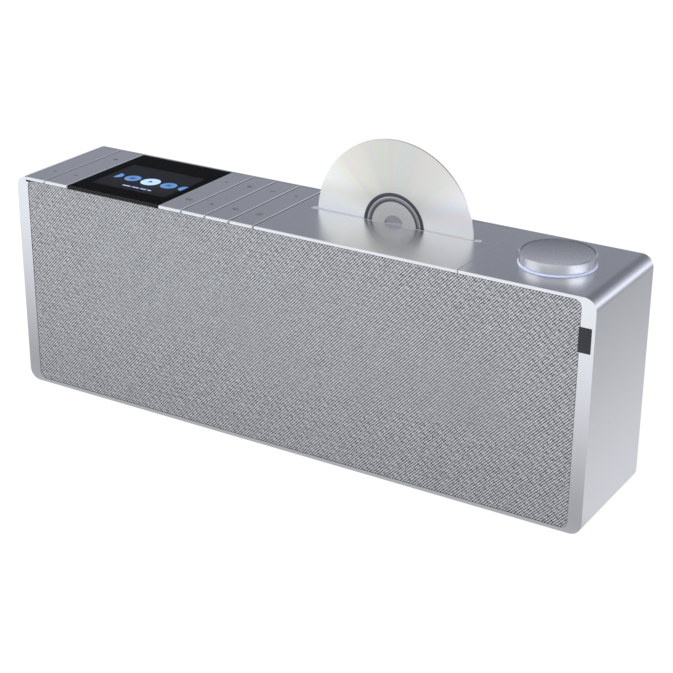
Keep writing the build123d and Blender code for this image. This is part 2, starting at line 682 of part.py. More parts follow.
def display_glass():
    gap = FIT_GAP / 2
    glass = block(DISPLAY_X0 + gap, DISPLAY_X1 - gap, FRONT_Y + BEZEL_LIP + 0.05, PANEL_BACK - gap,
                  TOP_Z - GLASS_T, TOP_Z)
    return top_chamfer(glass, 0.15)


def display_panel():
    middle = (DISPLAY_X0 + DISPLAY_X1) / 2
    top = TOP_Z - GLASS_T
    return block(middle - LCD_SIZE[0] / 2, middle + LCD_SIZE[0] / 2, LCD_Y - LCD_SIZE[1] / 2,
                 LCD_Y + LCD_SIZE[1] / 2, top - LCD_T, top)


# ---- Slot and disc ----
def slot_plate():
    gap = FIT_GAP / 2
    x0, x1 = SLOT_PLATE_X0 + gap, PANEL_X1 - END_SEAM
    plate = block(x0, x1, FRONT_Y, PANEL_BACK - gap, PANEL_Z, TOP_Z)
    slot = extrude(RectangleRounded(SLOT_LENGTH, SLOT_WIDTH, SLOT_END_R), TOP_BAND + 2)
    plate = top_chamfer(plate - Pos(DISC_X, DISC_Y, PANEL_Z - 1) * slot)
    for left, right in ((x0, SLOT_PLATE_X0 + BAR_WIDTH / 2), (PANEL_X1 - BAR_WIDTH / 2, x1)):
        plate += block(left, right, BAFFLE_BACK + 1, COVER_Y - RAIL_WIDTH, FRAME_TOP, PANEL_Z)
    return plate


def slot_felts():
    z1 = FRAME_TOP - FIT_GAP
    clear = DISC_T / 2 + FELT_GAP
    strips = []
    for y0, y1 in ((DISC_Y - clear - FELT_T, DISC_Y - clear), (DISC_Y + clear, DISC_Y + clear + FELT_T)):
        strips.append(block(DISC_X - DISC_R - 2, DISC_X + DISC_R + 2, y0, y1, z1 - FELT_HEIGHT, z1))
    return group(strips)


def disc():
    z = TOP_Z - DISC_REST_DROP
    half = DISC_T / 2
    return (rod_y(DISC_X, DISC_Y - half, DISC_Y + half, z, DISC_R)
            - rod_y(DISC_X, DISC_Y - 1, DISC_Y + 1, z, DISC_HOLE_R))


# ---- Knob ----
def light_ring():
    outer = KNOB_R + RING_RIM
    ring = rod_z(KNOB_X, 0, TOP_Z, TOP_Z + RING_T, outer)
    return ring - rod_z(KNOB_X, 0, TOP_Z - 1, TOP_Z + 1, outer - RING_WIDTH)


SLIDER_TOP = CEILING_Z - ENCODER_HEIGHT / 2
SLIDER_Z = SLIDER_TOP - SLIDER_T


def encoder_body():
    """Housing under the top wall, threaded bush through it, and nut."""
    half = ENCODER_SIZE / 2
    bottom = CEILING_Z - ENCODER_HEIGHT
    body = block(KNOB_X - half, KNOB_X + half, -half, half, bottom, CEILING_Z)
    body += rod_z(KNOB_X, 0, CEILING_Z, TOP_Z + BUSH_RISE, BUSH_R)
    body += rod_z(KNOB_X, 0, TOP_Z, TOP_Z + BUSH_RISE - 0.5, NUT_R)
    body -= rod_z(KNOB_X, 0, SLIDER_TOP - 0.1, TOP_Z + BUSH_RISE + 1, SHAFT_R + SHAFT_GAP)
    chamber_low = SLIDER_Z - KNOB_PRESS - 1.2
    body -= rod_z(KNOB_X, 0, chamber_low, SLIDER_TOP + 0.1, SLIDER_R + SLIDER_GAP)
    body += rod_z(KNOB_X, 0, chamber_low, SLIDER_Z - KNOB_PRESS - 0.1, 2.0)
    return body


def push_slider():
    return rod_z(KNOB_X, 0, SLIDER_Z, SLIDER_TOP, SLIDER_R)


CAP_TOP = TOP_Z + KNOB_TOP - KNOB_CAP_SINK
CAP_Z = CAP_TOP - KNOB_CAP_T
CAP_R = KNOB_R - KNOB_RIM


def knob_shaft():
    return rod_z(KNOB_X, 0, SLIDER_TOP, CAP_Z, SHAFT_R)


def knob_dial():
    low, high = TOP_Z + KNOB_LIFT, TOP_Z + KNOB_TOP
    dial = rod_z(KNOB_X, 0, low, high, KNOB_R)
    dial = chamfer(dial.edges().filter_by(GeomType.CIRCLE).sort_by(Axis.Z)[-1], EDGE_CHAMFER)
    dial -= rod_z(KNOB_X, 0, low - 1, CAP_Z - KNOB_FLOOR, KNOB_R - KNOB_WALL)
    dial -= rod_z(KNOB_X, 0, CAP_Z, high + 1, CAP_R + FIT_GAP)
    hub_low = TOP_Z + BUSH_RISE + KNOB_PRESS + 0.2
    dial += rod_z(KNOB_X, 0, hub_low, CAP_Z, NUT_R - 2)
    dial -= rod_z(KNOB_X, 0, hub_low - 1, CAP_Z + 1, SHAFT_R)
    return dial


def knob_cap():
    cap = rod_z(KNOB_X, 0, CAP_Z, CAP_TOP, CAP_R)
    return chamfer(cap.edges().filter_by(GeomType.CIRCLE).sort_by(Axis.Z)[-1], EDGE_CHAMFER)


# ---- Sockets and boards ----
def socket_holes():
    """(x, radius) of the round sockets in the bay."""
    first = BAY_X[0] + 12
    jack = first + 22
    return [(first, AERIAL_COLLAR_R), (jack, JACK_NOSE_R), (jack + JACK_SPACING, JACK_NOSE_R)]


def usb_place():
    """Middle x, outer width and outer height of the USB socket."""
    return BAY_X[1] - 18, *USB_SIZE


def aerial_socket():
    x, collar_r = socket_holes()[0]
    y1 = BAY_FLOOR_Y + AERIAL_LENGTH
    half = AERIAL_COLLAR_R + 0.4
    wall_y = BAY_FLOOR_Y - BAY_WALL
    body = block(x - half, x + half, BOARD_REAR, wall_y, BAY_MID_Z - half, BAY_MID_Z + half)
    body += rod_y(x, wall_y, BAY_FLOOR_Y, BAY_MID_Z, collar_r)
    body += rod_y(x, BAY_FLOOR_Y, y1, BAY_MID_Z, AERIAL_R)
    body -= rod_y(x, BAY_FLOOR_Y, y1 + 1, BAY_MID_Z, AERIAL_BORE_R)
    return body + rod_y(x, BAY_FLOOR_Y - 1, y1 - 1, BAY_MID_Z, AERIAL_PIN_R)


def jack_sockets():
    bodies = []
    half = JACK_BODY / 2
    wall_y = BAY_FLOOR_Y - BAY_WALL
    y0 = BOARD_REAR + 0.2
    y1 = y0 + JACK_BORE_LENGTH
    for x, radius in socket_holes()[1:]:
        body = block(x - half, x + half, BOARD_REAR, wall_y, BAY_MID_Z - half, BAY_MID_Z + half)
        body += rod_y(x, wall_y, y1, BAY_MID_Z, radius)
        bodies.append(body - rod_y(x, y0, y1 + 1, BAY_MID_Z, JACK_BORE_R))
    return group(bodies)


def usb_socket():
    x, width, height = usb_place()
    y1 = BAY_FLOOR_Y + 2
    y0 = y1 - USB_DEPTH
    z0, z1 = BAY_MID_Z - height / 2, BAY_MID_Z + height / 2
    shell = block(x - width / 2, x + width / 2, BOARD_REAR, y1, z0, z1)
    mouth = width / 2 - USB_SKIN
    tongue_z = z1 - USB_SKIN
    shell -= block(x - mouth, x + mouth, y0, y1 + 1, z0 + USB_SKIN, tongue_z)
    tongue = mouth - USB_SKIN
    return shell + block(x - tongue, x + tongue, y0 - 0.5, y1 - 1, tongue_z - USB_TONGUE_T, tongue_z)


def mains_inlet():
    width, height = INLET_SIZE
    z = BASE_Z + INLET_Z
    half_w, half_h = width / 2, height / 2
    body = block(INLET_X - half_w, INLET_X + half_w, BOARD_REAR, REAR_Y, z - half_h, z + half_h)
    body -= Pos(INLET_X, REAR_Y + 1, z) * extrude(Plane.XZ * SlotOverall(*INLET_MOUTH), INLET_DEPTH + 1)
    for side in (-1, 1):
        x = INLET_X + side * INLET_PIN_SPACING / 2
        body += rod_y(x, REAR_Y - INLET_DEPTH - 1, REAR_Y - 2, z, INLET_PIN_R)
    return body


def main_board():
    z0 = BASE_Z + BOARD_FLOOR
    x0 = DISC_X - MAIN_BOARD[0] / 2
    x1 = x0 + MAIN_BOARD[0]
    parts = [block(x0, x1, BOARD_REAR - BOARD_T, BOARD_REAR, z0, z0 + MAIN_BOARD[1])]
    z = z0 + MAIN_BOARD[1] - CHIP_DROP
    for share, width, height in CHIPS:
        x = x0 + share * MAIN_BOARD[0]
        half_w, half_h = width / 2, height / 2
        parts.append(block(x - half_w, x + half_w, BOARD_REAR, BOARD_REAR + CHIP_T, z - half_h, z + half_h))
    return group(parts)


def power_board():
    """Board with its transformer, smoothing capacitors and heat sink."""
    z0 = BASE_Z + BOARD_FLOOR
    x0 = POWER_BOARD_X - POWER_BOARD[0] / 2
    face = BOARD_REAR - BOARD_T
    parts = [block(x0, x0 + POWER_BOARD[0], face, BOARD_REAR, z0, z0 + POWER_BOARD[1])]
    for size, x, z in ((TRANSFORMER_SIZE, x0 + 14, z0 + 28), (HEAT_SINK_SIZE, x0 + 52, z0 + 36)):
        parts.append(block(x, x + size[0], face - size[1], face, z, z + size[2]))
    for x in (x0 + 58, x0 + 74):
        parts.append(rod_y(x, face - CAPACITOR_LENGTH, face, z0 + 16, CAPACITOR_R))
    return group(parts)


# ---- Slot loader ----
def post_places():
    """(x, z) of the posts that the traverse slides on."""
    heights = (LOADED_Z - POST_DOWN, LOADED_Z + POST_UP)
    return [(x, z) for x in (DISC_X - POST_HALF, DISC_X + POST_HALF) for z in heights]


def loader_frame():
    """Two cheeks joined by a floor, a front plate with the traverse posts, and the clamper's bridge."""
    top = FRAME_Z
    frame = block(CHEEK_X0, CHEEK_X0 + SHEET_T, LOADER_Y0, LOADER_Y1, LOADER_Z0, top)
    frame += block(CHEEK_X1 - SHEET_T, CHEEK_X1, LOADER_Y0, LOADER_Y1, LOADER_Z0, top)
    frame += block(CHEEK_X0, CHEEK_X1, LOADER_Y0, LOADER_Y1, LOADER_Z0, LOADER_Z0 + SHEET_T)
    plate_top = LOADED_Z + DECK_UP + 8
    plate = block(CHEEK_X0, CHEEK_X1, LOADER_Y0, LOADER_Y0 + SHEET_T, LOADER_Z0, plate_top)
    window = DECK_HALF + 8
    plate -= block(DISC_X - window, DISC_X + window, LOADER_Y0 - 1, LOADER_Y0 + SHEET_T + 1,
                   LOADED_Z - POST_DOWN + 9, LOADED_Z + POST_UP - 9)
    frame += plate
    for x, z in post_places():
        frame += rod_y(x, LOADER_Y0, DECK_REAR + TRAVERSE_TRAVEL + 1, z, POST_R)
    bridge_y = DISC_Y + BRIDGE_BACK
    bridge = block(CHEEK_X0, CHEEK_X1, bridge_y, bridge_y + SHEET_T, LOADED_Z - BRIDGE_HEIGHT / 2,
                   LOADED_Z + BRIDGE_HEIGHT / 2)
    frame += bridge - rod_y(DISC_X, bridge_y - 1, bridge_y + SHEET_T + 1, LOADED_Z, CLAMPER_STEM_R + RUN_GAP)
    frame -= rod_x(CHEEK_X0 - 1, CHEEK_X1 + 1, ROLLER_Y, ROLLER_Z, ROLLER_SHAFT_R + RUN_GAP)
    frame -= rod_x(CHEEK_X0 - 1, CHEEK_X1 + 1, PRESSURE_Y, ROLLER_Z, ROLLER_SHAFT_R + RUN_GAP)
    low, high = MOTOR_Z - MOTOR_R - 4, MOTOR_Z + MOTOR_R
    y0, y1 = ROLLER_Y - MOTOR_R, ROLLER_Y + MOTOR_R
    plate_x1 = MOTOR_PLATE_X + SHEET_T
    bracket = block(MOTOR_PLATE_X, plate_x1, y0, y1, low, high)
    bracket += block(MOTOR_PLATE_X, CHEEK_X0 + SHEET_T, y0, y1, low, low + SHEET_T)
    return frame + bracket - rod_x(MOTOR_PLATE_X - 1, plate_x1 + 1, ROLLER_Y, MOTOR_Z, MOTOR_HOLE_R)


def loading_motor():
    motor = rod_x(MOTOR_PLATE_X - MOTOR_LENGTH, MOTOR_PLATE_X, ROLLER_Y, MOTOR_Z, MOTOR_R)
    return motor - rod_x(MOTOR_PLATE_X - 8, MOTOR_PLATE_X + 1, ROLLER_Y, MOTOR_Z, MOTOR_SHAFT_R + RUN_GAP)


def pulley(radius, z):
    x0, x1 = BELT_X - PULLEY_WIDTH / 2, BELT_X + PULLEY_WIDTH / 2
    rim = radius + PULLEY_FLANGE
    wheel = rod_x(x0, x1, ROLLER_Y, z, radius)
    wheel += rod_x(x0 - PULLEY_FLANGE_T, x0, ROLLER_Y, z, rim)
    return wheel + rod_x(x1, x1 + PULLEY_FLANGE_T, ROLLER_Y, z, rim)


def roller_shaft():
    """Shaft with its pulley moulded on."""
    return pulley(PULLEY_R, ROLLER_Z) + rod_x(BELT_X, CHEEK_X1 + 1, ROLLER_Y, ROLLER_Z, ROLLER_SHAFT_R)


def feed_roller():
    """Rubber sleeve, thinner at the middle so that it touches only the disc's edges."""
    x0, x1 = DISC_X - ROLLER_HALF, DISC_X + ROLLER_HALF
    return turned_x([(x0, ROLLER_SHAFT_R), (x0, ROLLER_R), (DISC_X, ROLLER_MIDDLE_R), (x1, ROLLER_R),
                     (x1, ROLLER_SHAFT_R)], ROLLER_Y, ROLLER_Z)


def pressure_roller():
    roller = rod_x(DISC_X - ROLLER_HALF, DISC_X + ROLLER_HALF, PRESSURE_Y, ROLLER_Z, PRESSURE_R)
    return roller + rod_x(CHEEK_X0 - 1, CHEEK_X1 + 1, PRESSURE_Y, ROLLER_Z, ROLLER_SHAFT_R)


def motor_pulley():
    shaft = rod_x(MOTOR_PLATE_X - 7, BELT_X + PULLEY_WIDTH / 2, ROLLER_Y, MOTOR_Z, MOTOR_SHAFT_R)
    return pulley(MOTOR_PULLEY_R, MOTOR_Z) + shaft


def belt_loop(grow):
    """Outline round both pulleys, larger than them by grow."""
    wheels = ((ROLLER_Z, PULLEY_R), (MOTOR_Z, MOTOR_PULLEY_R))
    circles = [Pos(ROLLER_Y, z) * Circle(radius + grow) for z, radius in wheels]
    return make_hull([edge for circle in circles for edge in circle.edges()])


def drive_belt():
    outline = belt_loop(BELT_GAP + BELT_T) - belt_loop(BELT_GAP)
    return Pos(BELT_X - BELT_WIDTH / 2, 0, 0) * extrude(Plane.YZ * outline, BELT_WIDTH)


# ---- Traverse ----
def traverse_deck():
    deck = block(DISC_X - DECK_HALF, DISC_X + DECK_HALF, DECK_Y, DECK_REAR,
                 LOADED_Z - DECK_DOWN, LOADED_Z + DECK_UP)
    for x, z in post_places():
        deck -= rod_y(x, DECK_Y - 1, DECK_REAR + 1, z, POST_R + RUN_GAP)
    low, high = rod_span()
    half = ROD_BLOCK / 2
    block_y = ROD_Y + ROD_R + 1
    for x in (DISC_X - ROD_HALF, DISC_X + ROD_HALF):
        for z in (low, high - ROD_BLOCK_T):
            deck += block(x - half, x + half, DECK_REAR, block_y, z, z + ROD_BLOCK_T)
            deck -= rod_z(x, ROD_Y, z - 1, z + ROD_BLOCK_T + 1, ROD_R)
    x = DISC_X + SCREW_X
    deck += block(x - 3, x + 3, DECK_REAR, block_y, low, low + ROD_BLOCK_T)
    return deck - rod_z(x, ROD_Y, low - 1, low + ROD_BLOCK_T + 1, ROD_R + RUN_GAP)


def rod_span():
    """Lower and upper end of the guide rods."""
    return LOADED_Z - DECK_DOWN + 2, LOADED_Z - SPINDLE_MOTOR_R + 3 + ROD_BLOCK_T


def guide_rods():
    low, high = rod_span()
    return group(rod_z(DISC_X + side * ROD_HALF, ROD_Y, low, high, ROD_R) for side in (-1, 1))


def sled_motor_base():
    return LOADED_Z - 5


def drive_motors():
    """Spindle motor and sled motor."""
    y1 = DECK_REAR + SPINDLE_MOTOR_T
    spindle = rod_y(DISC_X, DECK_REAR, y1, LOADED_Z, SPINDLE_MOTOR_R)
    spindle -= rod_y(DISC_X, DECK_REAR + 0.5, y1 + 1, LOADED_Z, MOTOR_SHAFT_R + RUN_GAP)
    x, base = DISC_X + SCREW_X, sled_motor_base()
    sled = rod_z(x, ROD_Y, base, base + SLED_MOTOR_LENGTH, SLED_MOTOR_R)
    sled -= rod_z(x, ROD_Y, base - 1, base + 4, ROD_R + RUN_GAP)
    return group([spindle, sled])


def lead_screw():
    return rod_z(DISC_X + SCREW_X, ROD_Y, rod_span()[0] + 0.5, sled_motor_base() + 3.8, ROD_R)


def turntable():
    table = rod_y(DISC_X, PLATTER_Y - PLATTER_T, PLATTER_Y, LOADED_Z, PLATTER_R)
    table += rod_y(DISC_X, PLATTER_Y, PLATTER_Y + BOSS_HEIGHT, LOADED_Z, BOSS_R)
    return table + rod_y(DISC_X, DECK_REAR + 0.8, PLATTER_Y - PLATTER_T, LOADED_Z, MOTOR_SHAFT_R)


def clamper():
    face = DISC_Y + DISC_T / 2 + CLAMPER_GAP
    bridge_rear = DISC_Y + BRIDGE_BACK + SHEET_T
    end = bridge_rear + 1.5
    body = rod_y(DISC_X, face, face + CLAMPER_T, LOADED_Z, CLAMPER_R)
    body -= rod_y(DISC_X, face - 1, face + CLAMPER_RECESS, LOADED_Z, DISC_HOLE_R)
    body += rod_y(DISC_X, face + CLAMPER_T, end, LOADED_Z, CLAMPER_STEM_R)
    return body + rod_y(DISC_X, bridge_rear + 0.2, end, LOADED_Z, CLAMPER_STEM_R + 1.5)


SLED_Y0 = DECK_REAR + 1.0
SLED_Y1 = SLED_Y0 + SLED_T


def optical_sled():
    half = SLED_HEIGHT / 2
    z0, z1 = LENS_Z - half - 1, LENS_Z + half - 1
    sled = block(DISC_X - SLED_HALF, DISC_X + SLED_HALF, SLED_Y0, SLED_Y1, z0, z1)
    for side in (-1, 1):
        sled -= rod_z(DISC_X + side * ROD_HALF, ROD_Y, z0 - 1, z1 + 1, ROD_R + RUN_GAP)
    x = DISC_X + SCREW_X
    arm = block(DISC_X + SLED_HALF, x + ROD_R + 2, ROD_Y - 3, ROD_Y + 3, LENS_Z - 3, LENS_Z + 3)
    sled += arm - rod_z(x, ROD_Y, LENS_Z - 4, LENS_Z + 4, ROD_R + 2 * RUN_GAP)
    return sled - rod_y(DISC_X, SLED_Y1 - 2, SLED_Y1 + 1, LENS_Z, LENS_R + 0.4)


def focus_lens():
    y0 = SLED_Y1 - 2 + LENS_TRAVEL + 0.1
    return rod_y(DISC_X, y0, y0 + LENS_T, LENS_Z, LENS_R)


# ---- Nodes ----
def nodes():
    made = {
        "case_sleeve": case_sleeve(), "feet": feet(),
        "rear_cover": rear_cover(), "cover_screws": cover_screws(),
        "reflex_port": reflex_port(), "grille_cloth": grille_cloth(), "grille_frame": grille_frame(),
        "grille_tag": grille_tag(), "baffle": baffle(), "top_frame": top_frame(), "pivot_rods": pivot_rods(),
        "key_boards": key_boards(), "display_bezel": display_bezel(), "display_glass": display_glass(),
        "display_panel": display_panel(), "slot_plate": slot_plate(),
        "slot_felts": slot_felts(), "disc": disc(),
        "light_ring": light_ring(), "encoder_body": encoder_body(), "push_slider": push_slider(),
        "knob_shaft": knob_shaft(), "knob_dial": knob_dial(), "knob_cap": knob_cap(),
        "aerial_socket": aerial_socket(), "jack_sockets": jack_sockets(), "usb_socket": usb_socket(),
        "mains_inlet": mains_inlet(), "main_board": main_board(), "power_board": power_board(),
        "loader_frame": loader_frame(), "loading_motor": loading_motor(), "roller_shaft": roller_shaft(),
        "feed_roller": feed_roller(), "pressure_roller": pressure_roller(), "motor_pulley": motor_pulley(),
        "drive_belt": drive_belt(), "traverse_deck": traverse_deck(), "guide_rods": guide_rods(),
        "drive_motors": drive_motors(), "lead_screw": lead_screw(), "turntable": turntable(),
        "clamper": clamper(), "optical_sled": optical_sled(), "focus_lens": focus_lens(),
        "speaker_baskets": group(speaker_basket(side * SPEAKER_X) for side in (-1, 1)),
        "speaker_magnets": group(solid for side in (-1, 1) for solid in speaker_magnet(side * SPEAKER_X)),
        "pole_pieces": group(pole_piece(side * SPEAKER_X) for side in (-1, 1)),
    }
    for side, sign in (("left", -1), ("right", 1)):
        made[f"{side}_surround"] = surround(sign * SPEAKER_X)
        made[f"{side}_cone"] = speaker_cone(sign * SPEAKER_X)
        made[f"{side}_voice_coil"] = voice_coil(sign * SPEAKER_X)
    for name, x0, x1 in key_columns():
        made[name] = key(x0, x1)
    return made


os.makedirs("parts", exist_ok=True)
for node_name, shape in nodes().items():
    export_step(shape, f"parts/{node_name}.step")
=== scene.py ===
"""Looks of the mini hifi system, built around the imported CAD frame, in metres."""
import json
import math

import bpy
import numpy as np
from mathutils import Matrix, Vector


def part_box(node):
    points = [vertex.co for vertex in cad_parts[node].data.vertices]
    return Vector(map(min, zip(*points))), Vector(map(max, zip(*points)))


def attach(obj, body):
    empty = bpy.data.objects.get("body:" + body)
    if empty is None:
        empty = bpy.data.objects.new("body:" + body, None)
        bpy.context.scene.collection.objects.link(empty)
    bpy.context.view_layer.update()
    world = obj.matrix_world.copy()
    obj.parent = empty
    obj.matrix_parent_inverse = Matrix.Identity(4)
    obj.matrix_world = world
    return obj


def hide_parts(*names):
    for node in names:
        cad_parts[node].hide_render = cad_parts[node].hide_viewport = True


MM = 0.001

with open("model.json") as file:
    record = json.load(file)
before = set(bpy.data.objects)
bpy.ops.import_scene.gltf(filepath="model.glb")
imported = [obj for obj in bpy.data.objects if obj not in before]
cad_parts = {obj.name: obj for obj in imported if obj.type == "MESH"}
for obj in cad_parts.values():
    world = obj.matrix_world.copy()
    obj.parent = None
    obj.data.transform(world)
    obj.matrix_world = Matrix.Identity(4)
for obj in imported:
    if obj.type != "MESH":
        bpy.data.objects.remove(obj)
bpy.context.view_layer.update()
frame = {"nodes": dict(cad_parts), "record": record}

case_lo, case_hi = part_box("case_sleeve")
disc_lo, disc_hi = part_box("disc")
cap_lo, cap_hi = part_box("knob_cap")
lcd_lo, lcd_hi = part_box("display_panel")
TOP_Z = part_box("slot_plate")[1].z
DISC_MIDDLE = (disc_lo + disc_hi) / 2
KNOB_MIDDLE = (cap_lo + cap_hi) / 2

# ---- Camera: the photograph's angle ----
CAMERA_PLACE = Vector((0.5808, -0.9187, 0.5380))
CAMERA_FORWARD = Vector((-0.48028, 0.78379, -0.39370))
CAMERA_ROLL = math.radians(0.342)
CAMERA_LENS = 89.33       # mm, on a 36 mm sensor

# ---- Grille weave ----
WEAVE_REPEAT = (6.54 * MM, 6.79 * MM)
WEAVE_STEPS = 12          # mesh cells in one repeat
WEAVE_RELIEF = 0.16 * MM
# waves that make the weave: (turns per repeat in x, turns per repeat in z, share, phase in turns)
WEAVE_WAVES = (
    (-3, 3, 0.85, 0.0),   # diagonal ribs
    (3, 3, 0.52, 0.0),    # crossing ribs
    (1, 1, 0.17, 0.0),    # broad bands across the ribs
    (2, 2, 0.10, 0.0),    # narrower bands
    (0, 2, 0.15, -0.15),  # rows
    (2, 0, 0.06, 0.13),   # columns
)
WEAVE_TOTAL = sum(wave[2] for wave in WEAVE_WAVES)
GRILLE_CORNER = 4.7 * MM
FOLD_W = 0.12 * MM        # width of the folded-back edge
CLOTH_SPREAD = Vector((0.2, 0, 0.2)) * MM   # the cloth's edge fills most of the gap round its frame
YARN = 0.35 * MM          # size of the single yarns' unevenness
SLUB = 1.3 * MM           # size of the thick and thin stretches

# ---- Metal ----
ALUMINIUM_GRAIN = 0.35 * MM
ALUMINIUM_RELIEF = 0.010 * MM
ALUMINIUM_ROUGHNESS = (0.28, 0.33)
ALUMINIUM_TONES = ((0.3, (0.770, 0.778, 0.800)), (0.7, (0.815, 0.822, 0.845)))
KEY_CHAMFER = 0.3 * MM    # the CAD's own, outside the bevel
KEY_BEVEL = 1.0 * MM
KEY_BEVEL_SLOPE = 1.8
KNOB_DISH = 1.9           # the bump's rise in metres is this times the square of the distance from its axis

# ---- Studio: brightness of what the metal reflects ----
COOL_TINT = (0.975, 0.99, 1.03)
BACK_TINT = (0.92, 0.96, 1.09)
BACK_LEFT = 0.32
BACK_RIGHT = 0.34
BACK_HIGH = 0.12
BACK_HORIZON = 0.55
BACK_GLOW = 0.60          # added behind the right end
FRONT_LEVEL = 0.62
# where those change, as parts of the direction looked in: x is right, y is back, z is up
BACK_SIDES = (-0.75, -0.20)
BACK_RISE = (0.34, 0.60)
HORIZON_RISE = (0.02, 0.30)
GLOW_RISE = (0.05, 0.62)
GLOW_SIDE = (0.10, 0.55)
FRONT_TO_BACK = (-0.2, 0.3)
# soft lights seen in the metal: (azimuth, height, inner angle, outer angle, strength), angles in degrees
SOFT_LIGHTS = (
    (-147, 24, 10, 33, 0.60),
    (-2, 24, 8, 36, 1.00),
)
# the floor in front of the case, and to its right, with how far it takes to change
FLOOR_NEAR = 0.42
FLOOR_FAR = 1.12
FLOOR_REACH = 0.34
RIGHT_NEAR = 0.76
RIGHT_FAR = 0.30
FLOOR_RIGHT_REACH = 0.26
RIGHT_BEYOND = 0.85       # past the dark part on the right
BEYOND_FROM = 0.40
BEYOND_TO = 0.90
FLOOR_TURN = (-0.03, 0.04)   # from the front's floor to the right's, round the case's front face
FLOOR_SHADE = 0.10        # share of the floor's white that shadows can take away
FLOOR_HALF = 6.0
# lights that shine on the object and aren't seen in it: (name, place, target, size, watts)
SOFTBOXES = (
    ("overhead", (-0.3, -0.5, 2.2), (0, 0, 0), (2.4, 1.6), 12),
    ("front_fill", (-1.0, -1.6, 1.3), (0, 0, 0.1), (0.9, 0.7), 15),
)


# ---- Node tree helpers ----
RANGE_SOCKETS = ("From Min", "From Max", "To Min", "To Max")
WAVE_TURN = 2 * math.pi / 20   # length of one turn in a wave texture of scale 1


class Nodes:
    """A node tree, with short ways to add to it."""

    def __init__(self, tree):
        self.tree = tree

    def node(self, kind, **properties):
        made = self.tree.nodes.new(kind)
        for key, value in properties.items():
            setattr(made, key, value)
        return made

    def link(self, source, target):
        """Connects a socket, or sets a plain value."""
        if isinstance(source, bpy.types.NodeSocket):
            self.tree.links.new(source, target)
        else:
            target.default_value = source

    def maths(self, operation, *values):
        made = self.node("ShaderNodeMath", operation=operation)
        for value, target in zip(values, made.inputs):
            self.link(value, target)
        return made.outputs[0]

    def vectors(self, operation, first, second, output="Vector"):
        made = self.node("ShaderNodeVectorMath", operation=operation)
        self.link(first, made.inputs[0])
        self.link(second, made.inputs[1])
        return made.outputs[output]

    def tinted(self, level, tint):
        """A tint made as bright as a level."""
        made = self.node("ShaderNodeVectorMath", operation="SCALE")
        self.link(tint, made.inputs[0])
        self.link(level, made.inputs["Scale"])
        return made.outputs["Vector"]

    def axes(self, source):
        """The x, y and z of a vector."""
        made = self.node("ShaderNodeSeparateXYZ")
        self.link(source, made.inputs[0])
        return tuple(made.outputs)

    def stepped(self, source, from_range, to_range):
        """A value that runs smoothly from one range to another."""
        made = self.node("ShaderNodeMapRange", interpolation_type="SMOOTHSTEP")
        self.link(source, made.inputs["Value"])
        for socket, value in zip(RANGE_SOCKETS, (*from_range, *to_range)):
            self.link(value, made.inputs[socket])
        return made.outputs["Result"]

    def shown(self, seen, reflected, surface):
        """One shader where the camera looks straight at it, and another in reflections."""
        path = self.node("ShaderNodeLightPath")
        mixed = self.node("ShaderNodeMixShader")
        self.link(path.outputs["Is Camera Ray"], mixed.inputs["Fac"])
        self.link(reflected, mixed.inputs[1])
        self.link(seen, mixed.inputs[2])
        self.link(mixed.outputs["Shader"], surface)


